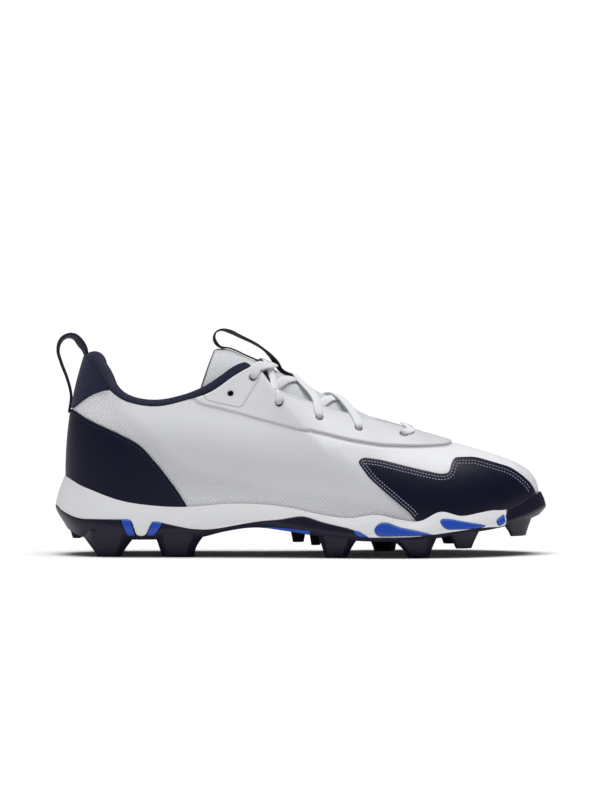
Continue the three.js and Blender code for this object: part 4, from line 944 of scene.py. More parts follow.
@dataclass(frozen=True)
class Finish:
    """One material of the shoe.

    Attributes:
        name: The material's name.
        colour: Its linear colour.
        grain: Its surface pattern.
        roughness: Its middle roughness.
        depth: Depth of the pattern in millimetres.
        mottle: How much its colour varies.
        sheen: Soft shine of cloth.
        coat: Clear shine of moulded plastic.
        gloss: Strength of its reflections.
    """

    name: str
    colour: tuple[float, float, float]
    grain: Grain
    roughness: float = 0.5
    depth: float = 0.05
    mottle: float = 0.05
    sheen: float = 0.0
    coat: float = 0.0
    gloss: float = 0.5

    def build(self) -> bpy.types.Material:
        """Builds the material.

        Returns:
            The material.
        """
        graph = Graph(self.name)
        shader = graph.shader
        place = graph.object_place()
        cloud = graph.noise(place, 9.0)
        dark = tuple(c * (1 - self.mottle) for c in self.colour)
        light = tuple(min(1.0, c * (1 + self.mottle)) for c in self.colour)
        colour = graph.blend(cloud, dark, light)
        rough = graph.math("MULTIPLY_ADD", graph.noise(place, 4.0), 0.12, self.roughness - 0.06)
        colour = getattr(self, self.grain.value)(graph, place, colour)
        graph.feed(shader.inputs["Base Color"], colour)
        graph.feed(shader.inputs["Roughness"], rough)
        shader.inputs["Sheen Weight"].default_value = self.sheen
        shader.inputs["Sheen Roughness"].default_value = 0.4
        shader.inputs["Coat Weight"].default_value = self.coat
        shader.inputs["Coat Roughness"].default_value = 0.25
        shader.inputs["Specular IOR Level"].default_value = self.gloss
        return graph.material

    def leather(self, graph: Graph, place: bpy.types.NodeSocket, colour: object) -> object:
        """Adds the fine pebbled grain of coated leather."""
        graph.bump(graph.cells(place, 0.7), self.depth, 0.35)
        graph.bump(graph.noise(place, 14.0, 2.0), self.depth * 5, 0.25)
        return colour

    def dotted(self, graph: Graph, place: bpy.types.NodeSocket, colour: object) -> object:
        """Adds raised dots where the mesh stores them, over a fine grain, with painted shade between the
        dots, painted shade lines and painted light and shade from the mesh.
        """
        graph.bump(graph.cells(place, 0.6), self.depth * 0.3, 0.3)
        graph.bump(graph.noise(place, 16.0, 2.0), self.depth * 2.5, 0.25)
        mask = graph.attribute("dots")
        dots = graph.lattice(graph.attribute("flat", True), (2.1, 1.9), 38, 0.46)
        height = graph.math("MULTIPLY", dots, mask)
        graph.bump(height, self.depth * 4, 0.9)
        # Painted shade between the raised dots: shade is 1 there and deep is its darker colour
        shade = graph.math("MULTIPLY", graph.math("SUBTRACT", 1.0, dots), mask)
        along = graph.stretched(place, (6.0, 6.0, 1.0), 12)
        graph.bump(graph.noise(along, 3.0, 3.0), self.depth * 3, 0.16)
        deep = tuple(c * 0.72 for c in self.colour)
        # Darkens where the mesh stores seam lines and painted shade
        seam_and_shade = graph.attribute("seam_and_shade")
        toned = graph.blend(graph.math("MULTIPLY", shade, 0.38), colour, deep)
        toned = graph.blend(seam_and_shade, toned, tuple(c * 0.3 for c in self.colour))
        # Scales the colour by the painted light and shade that the mesh stores
        return graph.scaled(toned, graph.attribute("painted_shading"))

    def knit(self, graph: Graph, place: bpy.types.NodeSocket, colour: object) -> object:
        """Adds a fine spacer knit."""
        flat = graph.attribute("flat", True)
        loops = graph.lattice(flat, (1.2, 0.9), 6, 0.5)
        graph.bump(loops, self.depth * 3, 0.8)
        graph.bump(graph.noise(place, 0.5, 2.0), self.depth, 0.4)
        toned = graph.blend(loops, tuple(c * 0.5 for c in self.colour), colour)
        return graph.blend(graph.attribute("seam_and_shade"), toned, tuple(c * 0.16 for c in self.colour))

    def mesh(self, graph: Graph, place: bpy.types.NodeSocket, colour: object) -> object:
        """Adds an open mesh with small holes over a darker backing, turned navy along its binding and where
        painted shade falls beside the tongue.
        """
        flat = graph.attribute("flat", True)
        holes = graph.lattice(flat, (1.25, 1.25), 45, 0.34)
        graph.bump(graph.math("SUBTRACT", 1.0, holes), self.depth * 4, 0.8)
        graph.bump(graph.noise(place, 0.6, 2.0), self.depth, 0.4)
        # Navy for the binding, and painted shade in the gap beside the tongue
        edge = graph.attribute("binding_and_shade")
        toned = graph.blend(graph.math("MULTIPLY", holes, 0.7), colour, tuple(c * 0.45 for c in self.colour))
        return graph.blend(edge, toned, linear(34, 36, 58))

    def woven(self, graph: Graph, place: bpy.types.NodeSocket, colour: object) -> object:
        """Adds the herringbone of flat webbing and laces."""
        along, across, _ = graph.split(graph.attribute("flat", True))
        slant = graph.math("MULTIPLY", graph.math("ABSOLUTE", across), 0.8)
        turn = graph.math("MULTIPLY", graph.math("ADD", along, slant), math.tau / (1.15 * MM))
        rib = graph.math("MULTIPLY_ADD", graph.math("SINE", turn), 0.5, 0.5)
        strand = graph.math("SINE", graph.math("MULTIPLY", across, math.tau / (0.75 * MM)))
        height = graph.math("MULTIPLY_ADD", strand, 0.25, rib)
        graph.bump(height, self.depth * 3, 0.7)
        toned = graph.blend(rib, tuple(c * 0.84 for c in self.colour), colour)
        # Darkens where the mesh stores painted shade, near the laces' eyelets
        return graph.blend(graph.attribute("seam_and_shade"), toned, tuple(c * 0.4 for c in self.colour))

    def moulded(self, graph: Graph, place: bpy.types.NodeSocket, colour: object) -> object:
        """Adds the faint flow and fine spark texture of moulded plastic."""
        graph.bump(graph.noise(place, 0.35, 2.0), self.depth, 0.25)
        graph.bump(graph.noise(place, 11.0, 2.0), self.depth * 3, 0.2)
        return colour

    def thread(self, graph: Graph, place: bpy.types.NodeSocket, colour: object) -> object:
        """Adds the twist of sewing thread."""
        graph.bump(graph.noise(place, 0.25, 2.0), self.depth, 0.6)
        return colour


FILM = Finish("white_film", linear(228, 229, 233), Grain.DOTTED, 0.46, 0.06, 0.012, coat=0.05)
STAY = Finish("white_stay", linear(223, 224, 228), Grain.DOTTED, 0.44, 0.05, 0.012, coat=0.08)
HIDE = Finish("navy_leather", linear(9, 10, 36), Grain.LEATHER, 0.36, 0.06, 0.08, gloss=0.3)
SHELL = Finish("navy_counter", linear(10, 13, 38), Grain.LEATHER, 0.45, 0.03, 0.06, gloss=0.2)
KNIT = Finish("navy_knit", linear(36, 39, 70), Grain.KNIT, 0.85, 0.06, 0.06, sheen=0.12, gloss=0.3)
SPACER = Finish("tongue_mesh", linear(222, 224, 229), Grain.MESH, 0.75, 0.06, 0.02, sheen=0.05)
FOAM = Finish("midsole_white", linear(235, 236, 238), Grain.MOULDED, 0.5, 0.04, 0.012, coat=0.04)
PLATE = Finish("navy_plate", linear(20, 18, 40), Grain.MOULDED, 0.42, 0.05, 0.06, gloss=0.28)
BLUE = Finish("blue_insert", linear(34, 78, 184), Grain.MOULDED, 0.36, 0.04, 0.04, gloss=0.4)
TEXTILE = Finish("insole_cloth", linear(34, 36, 56), Grain.KNIT, 0.9, 0.05, 0.08, sheen=0.1, gloss=0.3)
LACE = Finish("lace_white", linear(244, 245, 248), Grain.WOVEN, 0.7, 0.05, 0.01, sheen=0.05)
WEB = Finish("webbing_black", linear(20, 21, 27), Grain.WOVEN, 0.7, 0.06, 0.06, sheen=0.08, gloss=0.3)
HEEL_WEB = Finish("webbing_navy", linear(28, 30, 52), Grain.WOVEN, 0.7, 0.06, 0.06, sheen=0.08, gloss=0.3)
THREAD = Finish("thread_slate", linear(158, 160, 178), Grain.THREAD, 0.6, 0.05, 0.05)
THREAD_DARK = Finish("thread_navy", linear(54, 57, 82), Grain.THREAD, 0.6, 0.05, 0.05)


class Wardrobe:
    """Holds each finish, built once."""

    def __init__(self) -> None:
        """Starts with no finishes built."""
        self.built: dict[str, bpy.types.Material] = {}

    def dress(self, piece: bpy.types.Object, finish: Finish, slot: str, *nodes: str) -> bpy.types.Object:
        """Gives a piece its finish and its place on the shoe.

        Args:
            piece: The piece.
            finish: Its finish.
            slot: Not used.
            nodes: CAD nodes that it stands for.

        Returns:
            The same piece.
        """
        if finish.name not in self.built:
            self.built[finish.name] = finish.build()
        piece.data.materials.clear()
        piece.data.materials.append(self.built[finish.name])
        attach(piece, "root")
        if nodes:
            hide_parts(*nodes)
        log.info("%s: %d vertices", piece.name, len(piece.data.vertices))
        return piece


def side_flat(points: np.ndarray) -> np.ndarray:
    """Returns where points lie on a flat pattern of the side, or of the toe's front, in metres."""
    side = np.column_stack([points[:, 0], points[:, 2], np.zeros(len(points))])
    toe = np.column_stack([points[:, 1], (points[:, 0] - points[:, 2]) * 0.78, np.zeros(len(points))])
    return np.where(points[:, :1] > 112, toe, side) * MM


@dataclass
class Upper:
    """The upper's wall with its overlays.

    Attributes:
        wardrobe: The finishes.
        cells: Cells round the shoe.
        rows: Cells up the wall.
    """

    wardrobe: Wardrobe
    cells: int = 420
    rows: int = 84

    def eyelets(self, u: np.ndarray, v: np.ndarray, radius: float) -> np.ndarray:
        """Returns how far points are outside the nearest eyelet hole."""
        points = LAST.skin(u, v)
        away = np.full(len(u), 1e9)
        for k, below, _ in EYELETS:
            for side in (-1, 1):
                turn = turn_of(k, side)
                middle = LAST.skin(np.array([turn]), np.array([LAST.climb_below(turn, below)]))
                tight = 0.4 if k == EYELETS[0][0] else 0.0
                away = np.minimum(away, np.linalg.norm(points - middle, axis=1) + tight)
        return away - radius

    @staticmethod
    def stay_depth(u: np.ndarray, v: np.ndarray, points: np.ndarray) -> np.ndarray:
        """Returns how deep points lie under the eyestay."""
        return depth_inside(points[:, [0, 2]], eased(outline(EYESTAY), 9))

    @staticmethod
    def panel_depth(u: np.ndarray, v: np.ndarray, points: np.ndarray) -> np.ndarray:
        """Returns how deep points lie inside the raised ankle panel."""
        return depth_inside(points[:, [0, 2]], eased(outline(ANKLE_PANEL), 4))

    def wall_relief(self, u: np.ndarray, v: np.ndarray, points: np.ndarray) -> np.ndarray:
        """Returns the relief of the wall: creases, and a groove under the eyestay's edge."""
        stay = self.stay_depth(u, v, points)
        groove = np.exp(-(((stay + 0.9) / 0.8) ** 2)) * 0.5
        return -LAST.creased(points[:, [0, 2]]) - groove

    @staticmethod
    def painted_shading(places: np.ndarray) -> np.ndarray:
        """Returns painted light and shade on the film: painted light at the heel and toe, painted shade down
        the quarter.

        Args:
            places: Points of the side view.

        Returns:
            Factors of its colour.
        """
        x, z = places[:, 0], places[:, 1]
        # start and fall give the painted shade down the quarter; light gives the painted light at the heel
        # and toe
        start = np.interp(x, (-110, -60, 0, 40, 60, 90), (92, 88, 78, 66, 56, 44))
        fall = ease((start - z) / 25) * (1 - 0.55 * ease((50 - z) / 20) * ease((30 - x) / 20))
        light = np.interp(x, (-40, 20, 70, 100), (1.17, 1.0, 0.99, 1.1))
        return light + (0.9 - light) * fall

    def wall(self) -> bpy.types.Object:
        """Builds the wall with its eyelet holes."""
        sheet = Sheet(
            "upper_wall",
            LAST.off,
            lambda u, v, points: self.eyelets(u, v, EYELET_RADIUS),
            (0, 1, self.cells),
            np.linspace(0, 1, self.rows + 1),
            thick=0.0,
            sink=-WALL,
            radius=0.4,
            levels=(0.0,),
            relief=self.wall_relief,
            marks=((self.stay_depth, (-2.2, -1.5, -0.9, -0.3, 0.4)),),
            fine=lambda u, v, points: self.eyelets(u, v, EYELET_RADIUS),
        )
        sheet.profile = lambda edge: np.zeros(len(edge))
        piece = sheet.build()
        points = corners(piece) / MM
        places = points[:, [0, 2]]
        film = np.maximum(
            ease((depth_inside(places, eased(outline(DOTTED), 14)) + 1) / 9),
            ease((depth_inside(places, outline(DOTTED_TOE)) + 1) / 5),
        )
        stay = depth_inside(places, eased(outline(EYESTAY), 9))
        store(piece, "flat", side_flat(points))
        store(piece, "dots", film)
        # Painted shade: a dark line in the groove under the eyestay's edge
        store(piece, "seam_and_shade", 0.42 * np.exp(-(((stay + 0.45) / 0.7) ** 2)))
        # Painted light and shade of the film, stored as factors of its colour
        store(piece, "painted_shading", self.painted_shading(places))
        return self.wardrobe.dress(piece, FILM, "shell", "upper")

    def overlay(
        self, name: str, rows: Sequence[Sequence[float]], span: tuple[float, float, int], easing: float,
        measure: Measure | None = None, relief: Measure | None = None, low: float = 0.0,
        marks: tuple[tuple[Measure, tuple[float, ...]], ...] = (), fine: Measure | None = None,
    ) -> tuple[bpy.types.Object, Sheet]:
        """Cuts an overlay along an outline of the side view.

        Args:
            name: The piece's name.
            rows: The outline's shares.
            span: Range of turns and cells along it.
            easing: Rounding of the outline's corners.
            measure: A further measure that the overlay keeps inside.
            relief: Relief of its face.
            low: Lowest climb.
            marks: Further lines of the mesh.
            fine: Where the mesh is finer.

        Returns:
            The piece and its sheet.
        """
        line = eased(outline(rows), easing)

        def inside(u: np.ndarray, v: np.ndarray, points: np.ndarray) -> np.ndarray:
            """Measures the depth inside the outline, over the sole's lip and under the top edge."""
            over_lip = (v - LAST.lip_climb(u)) * 100 + 2.0
            deep = np.minimum(depth_inside(points[:, [0, 2]], line), over_lip)
            deep = np.minimum(deep, LAST.edge_distance(u, v) + 0.001)
            return deep if measure is None else np.minimum(deep, measure(u, v, points))

        sheet = Sheet(
            name, LAST.off, inside, span, np.linspace(low, 1, self.rows + 1), relief=relief, marks=marks,
            fine=fine,
        )
        return sheet.build(), sheet

    def stay_relief(self, u: np.ndarray, v: np.ndarray, points: np.ndarray) -> np.ndarray:
        """Returns the relief of the eyestay: the raised ankle panel with a groove round it."""
        panel = self.panel_depth(u, v, points)
        raised = 0.4 * ease((panel + 0.2) / 1.1)
        groove = -0.45 * np.exp(-(((panel + 0.6) / 0.55) ** 2))
        rim = -0.25 * np.exp(-(((LAST.edge_distance(u, v) - 2.8) / 0.45) ** 2))
        ahead = ease((points[:, 0] + 38) / 8)
        return raised + groove + rim * ahead - 0.8 * LAST.creased(points[:, [0, 2]])

    def build(self) -> dict[str, bpy.types.Object]:
        """Builds the wall and the overlays.

        Returns:
            The pieces by name.
        """
        made = {"wall": self.wall()}
        stay, sheet = self.overlay(
            "eyestay_panel", EYESTAY, (0.19, 0.81, 360), 9,
            measure=lambda u, v, points: self.eyelets(u, v, EYELET_RADIUS),
            relief=self.stay_relief, low=0.3,
            marks=(
                (self.panel_depth, (-1.7, -1.1, -0.6, -0.1, 0.4, 0.9)),
                (lambda u, v, points: LAST.edge_distance(u, v), (1.9, 2.4, 2.8, 3.2, 3.7)),
            ),
            fine=lambda u, v, points: self.eyelets(u, v, EYELET_RADIUS),
        )
        points = corners(stay) / MM
        panel = depth_inside(points[:, [0, 2]], eased(outline(ANKLE_PANEL), 4))
        store(stay, "flat", side_flat(points))
        store(stay, "dots", np.zeros(len(points)))
        # Painted light on the eyestay's rear, painted shade towards the toe
        store(stay, "painted_shading", np.interp(points[:, 0], (-60, -30, 0, 40), (1.2, 1.16, 0.98, 0.94)))
        # Painted shade: a shadow line round the ankle panel, along the eyestay's cut edge and round each
        # eyelet hole
        hole = np.exp(-((self.eyelets(sheet.found["u"], sheet.found["v"], EYELET_RADIUS) / 0.7) ** 2))
        line = 0.4 * np.exp(-(((panel + 0.55) / 0.4) ** 2))
        rim = 0.35 * np.exp(-((sheet.found["edge"] / 0.3) ** 2)) * (points[:, 2] < 0.95 * HEIGHT)
        store(stay, "seam_and_shade", np.maximum(np.maximum(line, rim), 0.5 * hole))
        made["eyestay"] = self.wardrobe.dress(stay, STAY, "shell", "eyestay")
        counter, _ = self.overlay("counter_panel", COUNTER, (-0.22, 0.22, 220), 8)
        made["counter"] = self.wardrobe.dress(counter, SHELL, "overlay", "heel_counter")
        tab, sheet = self.overlay("heel_tab_panel", TAB, (-0.2, 0.2, 200), 5, low=0.4)
        points = corners(tab) / MM
        store(tab, "flat", side_flat(points))
        below = LAST.edge_distance(sheet.found["u"], sheet.found["v"])
        store(tab, "seam_and_shade", 0.8 * np.exp(-((below / 1.1) ** 2)))
        made["tab"] = self.wardrobe.dress(tab, KNIT, "lining", "heel_tab")
        middle = LAST.centre(1.0) * BALL_WIDTH
        for side, word, span in ((-1, "outer", (0.27, 0.5, 230)), (1, "inner", (0.5, 0.73, 230))):
            toe, _ = self.overlay(
                f"toe_panel_{word}", TOE_OVERLAY, span, 3.5,
                measure=lambda u, v, points, side=side: side * (points[:, 1] - middle) + 3,
            )
            made[word] = self.wardrobe.dress(toe, HIDE, "overlay", f"toe_overlay_{word}")
        return made


@dataclass
class Stitching:
    """Rows of stitches laid on a panel.

    Attributes:
        wardrobe: The finishes.
        panel: The panel that they are sewn into.
        pitch: From stitch to stitch.
        length: Length of a stitch.
        radius: Radius of the thread.
    """

    wardrobe: Wardrobe
    panel: bpy.types.Object
    pitch: float = 1.9
    length: float = 1.35
    radius: float = 0.28

    def master(self) -> tuple[np.ndarray, list[list[int]]]:
        """Models one stitch.

        Returns:
            Its vertices, along X and on Z 0, and its faces.
        """
        bpy.ops.object.select_all(action="DESELECT")
        bpy.ops.mesh.primitive_uv_sphere_add(segments=6, ring_count=5, radius=1, location=(0, 0, 0))
        ball = bpy.context.object
        points = corners(ball)
        points = np.column_stack([points[:, 2], points[:, 0], points[:, 1]])
        points[:, 0] = np.sign(points[:, 0]) * np.abs(points[:, 0]) ** 0.6
        points *= (self.length / 2, self.radius, self.radius)
        faces = [list(face.vertices) for face in ball.data.polygons]
        bpy.data.objects.remove(ball)
        return points, faces

    def lay(self, name: str, lines: Sequence[np.ndarray], side: int, finish: Finish) -> bpy.types.Object:
        """Lays stitches along lines of the side view.

        Args:
            name: The piece's name.
            lines: The lines.
            side: Which side of the shoe they are on.
            finish: The thread.

        Returns:
            The stitches as one piece.
        """
        points, faces = self.master()
        tree = BVHTree.FromObject(self.panel, bpy.context.evaluated_depsgraph_get())
        places, all_faces = [], []
        for line in lines:
            run = np.r_[0, np.cumsum(np.linalg.norm(np.diff(line, axis=0), axis=1))]
            stops = np.arange(self.pitch / 2, run[-1], self.pitch)
            spots = np.column_stack([np.interp(stops, run, line[:, i]) for i in (0, 1)])
            ahead = np.column_stack([np.interp(stops + 0.3, run, line[:, i]) for i in (0, 1)])
            for spot, there in zip(spots, ahead):
                pair = [
                    tree.ray_cast(Vector((x * MM, side * 0.2, z * MM)), Vector((0, -side, 0)))
                    for x, z in (spot, there)
                ]
                if pair[0][0] is None or pair[1][0] is None:
                    continue
                normal = np.array(pair[0][1])
                along = np.array(pair[1][0] - pair[0][0])
                if np.linalg.norm(along) > 1.2 * MM or np.linalg.norm(along) < 1e-6:
                    continue
                along /= np.linalg.norm(along)
                across = np.cross(normal, along)
                base = np.array(pair[0][0]) / MM + normal * self.radius * 0.35
                start = len(places) * len(points)
                all_faces += [[i + start for i in face] for face in faces]
                places.append(base + points @ np.array([along, across, normal]))
        piece = flat_grid(name, 1, 1)
        refill(piece, np.vstack(places), all_faces)
        only(piece)
        bpy.ops.object.shade_smooth()
        return self.wardrobe.dress(piece, finish, "overlay")


def inward(line: np.ndarray, distance: float) -> np.ndarray:
    """Moves an open line of the side view to its right.

    Args:
        line: The line.
        distance: How far.

    Returns:
        The moved line.
    """
    along = np.gradient(line, axis=0)
    along /= np.maximum(np.linalg.norm(along, axis=1, keepdims=True), 1e-9)
    return line + np.column_stack([along[:, 1], -along[:, 0]]) * distance


class Sole:
    """The cupped sole's side and underside as one curved face: v runs 0 to 1 up inside the lip, to 2
    round it, to 3 down the side and to 4 from the bottom edge to the middle of the underside."""

    flare = Curve(SIDE, 1)
    flare_share = Curve(FLARE, 1, True)
    depth = 3.0

    def under_relief(self, x: np.ndarray, y: np.ndarray, part: np.ndarray) -> np.ndarray:
        """Returns how far the underside sinks: hollows inside a rim, with ribs along the arch."""
        inset = ease((part - 0.12) / 0.2)
        arch = ease((x + 58) / 12) * ease((10 - x) / 14)
        ribs = 0.5 + 0.5 * np.cos(y / 7.5 * math.tau)
        return inset * (0.9 - arch * 1.3 * ribs)

    def place(self, turn: np.ndarray, v: np.ndarray, extra: np.ndarray) -> np.ndarray:
        """Returns points of the sole.

        Args:
            turn: How far round the shoe.
            v: How far along the section.
            extra: How far out of the face.

        Returns:
            The points.
        """
        top, side = self.side(turn, np.clip(v - 2, 0, 1), extra)
        radius = LIP / 2
        out = LAST.plan_normal(turn)
        lip = top[:, 2]
        angle = np.pi * np.clip(v - 1, 0, 1)
        small = np.maximum(extra, -0.45 * radius)
        round_out = radius * (1 - np.cos(angle)) - small * np.cos(angle)
        z = lip - radius + (radius + small) * np.sin(angle) - self.depth * np.clip(1 - v, 0, 1)
        lipped = np.column_stack([top[:, :2] + out * round_out[:, None], z])
        _, other = self.side(1 - turn, np.ones(len(turn)), extra)
        part = np.clip(v - 3, 0, 1)
        flat = side + (other - side) * (part / 2)[:, None]
        at = flat[:, 0] / LENGTH + 0.5
        sunk = self.under_relief(flat[:, 0], flat[:, 1], part)
        flat[:, 2] = LAST.under(at) * HEIGHT + np.where(v > 3, sunk - extra, 0)
        result = np.where((v <= 2)[:, None], lipped, side)
        return np.where((v > 3)[:, None], flat, result)

    def side(self, turn: np.ndarray, drop: np.ndarray, extra: np.ndarray) -> tuple[np.ndarray, np.ndarray]:
        """Returns the lip and points of the side below it."""
        k, _ = LAST.side_of(turn)
        top = LAST.off(turn, LAST.lip_climb(turn), GAP)
        lip = LAST.lip(top[:, 0] / LENGTH + 0.5) * HEIGHT
        out = LAST.plan_normal(turn)
        held = np.maximum(extra, -0.34 - 30 * drop)
        reach = LIP + self.flare(drop) * self.flare_share(k) * SIDE_FLARE + held
        x = top[:, 0] + out[:, 0] * reach
        y = top[:, 1] + out[:, 1] * reach
        start = lip - LIP / 2
        z = start + (LAST.under(x / LENGTH + 0.5) * HEIGHT - start) * drop
        return np.column_stack([top[:, :2], lip]), np.column_stack([x, y, z])


SOLE_FACE = Sole()


@dataclass
class Stud:
    """One moulded stud.

    Attributes:
        name: Where it stands.
        side: -1 on the outer side, 1 on the inner side.
        start: Its rear end at the root, then its front end and those of its tip, shares of LENGTH.
        width: Its width at the root and tip_width at the tip.
        lift: Height of the tip over the floor.
        rear: How much its rear edge hollows out, and front its front edge.
    """

    name: str
    side: int
    start: float
    end: float
    tip_start: float
    tip_end: float
    width: float
    tip_width: float
    lift: float
    rear: float
    front: float

    def side_at(self, x: np.ndarray) -> np.ndarray:
        """Returns how far out the sole's side is where it is widest."""
        turns = np.linspace(0.01, 0.49, 160)
        _, points = SOLE_FACE.side(turns if self.side < 0 else 1 - turns, np.full(160, 0.72), np.zeros(160))
        order = np.argsort(points[:, 0])
        return np.interp(x, points[order, 0], points[order, 1])

    def ring(self, height: float) -> np.ndarray:
        """Returns a level of the stud.

        Args:
            height: 0 at the tip, 1 at the root and 2 where it ends inside the sole's side.

        Returns:
            Its eight corners.
        """
        up = min(height, 1.0)
        start = self.tip_start + (self.start - self.tip_start) * up**self.rear
        end = self.tip_end + (self.end - self.tip_end) * up**self.front
        width = self.tip_width + (self.width - self.tip_width) * up
        outer = float(np.interp(height, (0, 0.4, 0.75, 1, 2), (7.2, 5.2, 3.6, 2.4, 0.3)))
        start, end = (start - 0.5) * LENGTH, (end - 0.5) * LENGTH
        back, ahead = 0.16 * (end - start), 0.24 * (end - start)
        inner = outer + width
        marks = np.array([
            (start, outer + back), (start + back, outer), (end - ahead, outer), (end, outer + ahead),
            (end, inner - ahead), (end - ahead, inner), (start + back, inner), (start, inner - back),
        ])
        x = marks[:, 0]
        root = LAST.under(x / LENGTH + 0.5) * HEIGHT
        z = self.lift + (root + 0.4 - self.lift) * up + 5.0 * max(0.0, height - 1)
        return np.column_stack([x, self.side_at(x) - self.side * marks[:, 1], z])

    def build(self, wardrobe: Wardrobe) -> bpy.types.Object:
        """Extrudes the stud from its tip up to its root.

        Args:
            wardrobe: The finishes.

        Returns:
            The finished stud.
        """
        bpy.ops.object.select_all(action="DESELECT")
        bpy.ops.mesh.primitive_circle_add(vertices=8, radius=1, fill_type="NGON", location=(0, 0, 0))
        piece = bpy.context.object
        piece.name = piece.data.name = f"stud_{self.name}"
        turned = corners(piece)
        order = np.argsort(np.mod(np.arctan2(turned[:, 1], turned[:, 0]) + 0.1, math.tau))
        rank = np.empty(8, int)
        rank[order] = np.arange(8)
        put(piece, self.ring(0)[rank])
        bpy.ops.object.mode_set(mode="EDIT")
        bpy.ops.mesh.select_all(action="SELECT")
        for height in (0.2, 0.4, 0.58, 0.75, 0.9, 1.0, 2.0):
            bpy.ops.mesh.extrude_region_move(TRANSFORM_OT_translate={"value": (0, 0, 0.001)})
            mesh = bmesh.from_edit_mesh(piece.data)
            chosen = sorted((vert for vert in mesh.verts if vert.select), key=lambda vert: vert.index)
            for vert, spot in zip(chosen, self.ring(height)[rank]):
                vert.co = spot * MM
            bmesh.update_edit_mesh(piece.data)
        bpy.ops.object.mode_set(mode="OBJECT")
        merge(piece)
        only(piece)
        bevel = piece.modifiers.new("edge", "BEVEL")
        bevel.width, bevel.segments, bevel.limit_method = 0.6 * MM, 3, "ANGLE"
        bevel.angle_limit = math.radians(24)
        bpy.ops.object.modifier_apply(modifier=bevel.name)
        spots = corners(piece) / MM
        spots[:, 2] = np.maximum(spots[:, 2], self.lift)
        put(piece, spots)
        smooth(piece, 22)
        return wardrobe.dress(piece, PLATE, "outsole", "outsole")


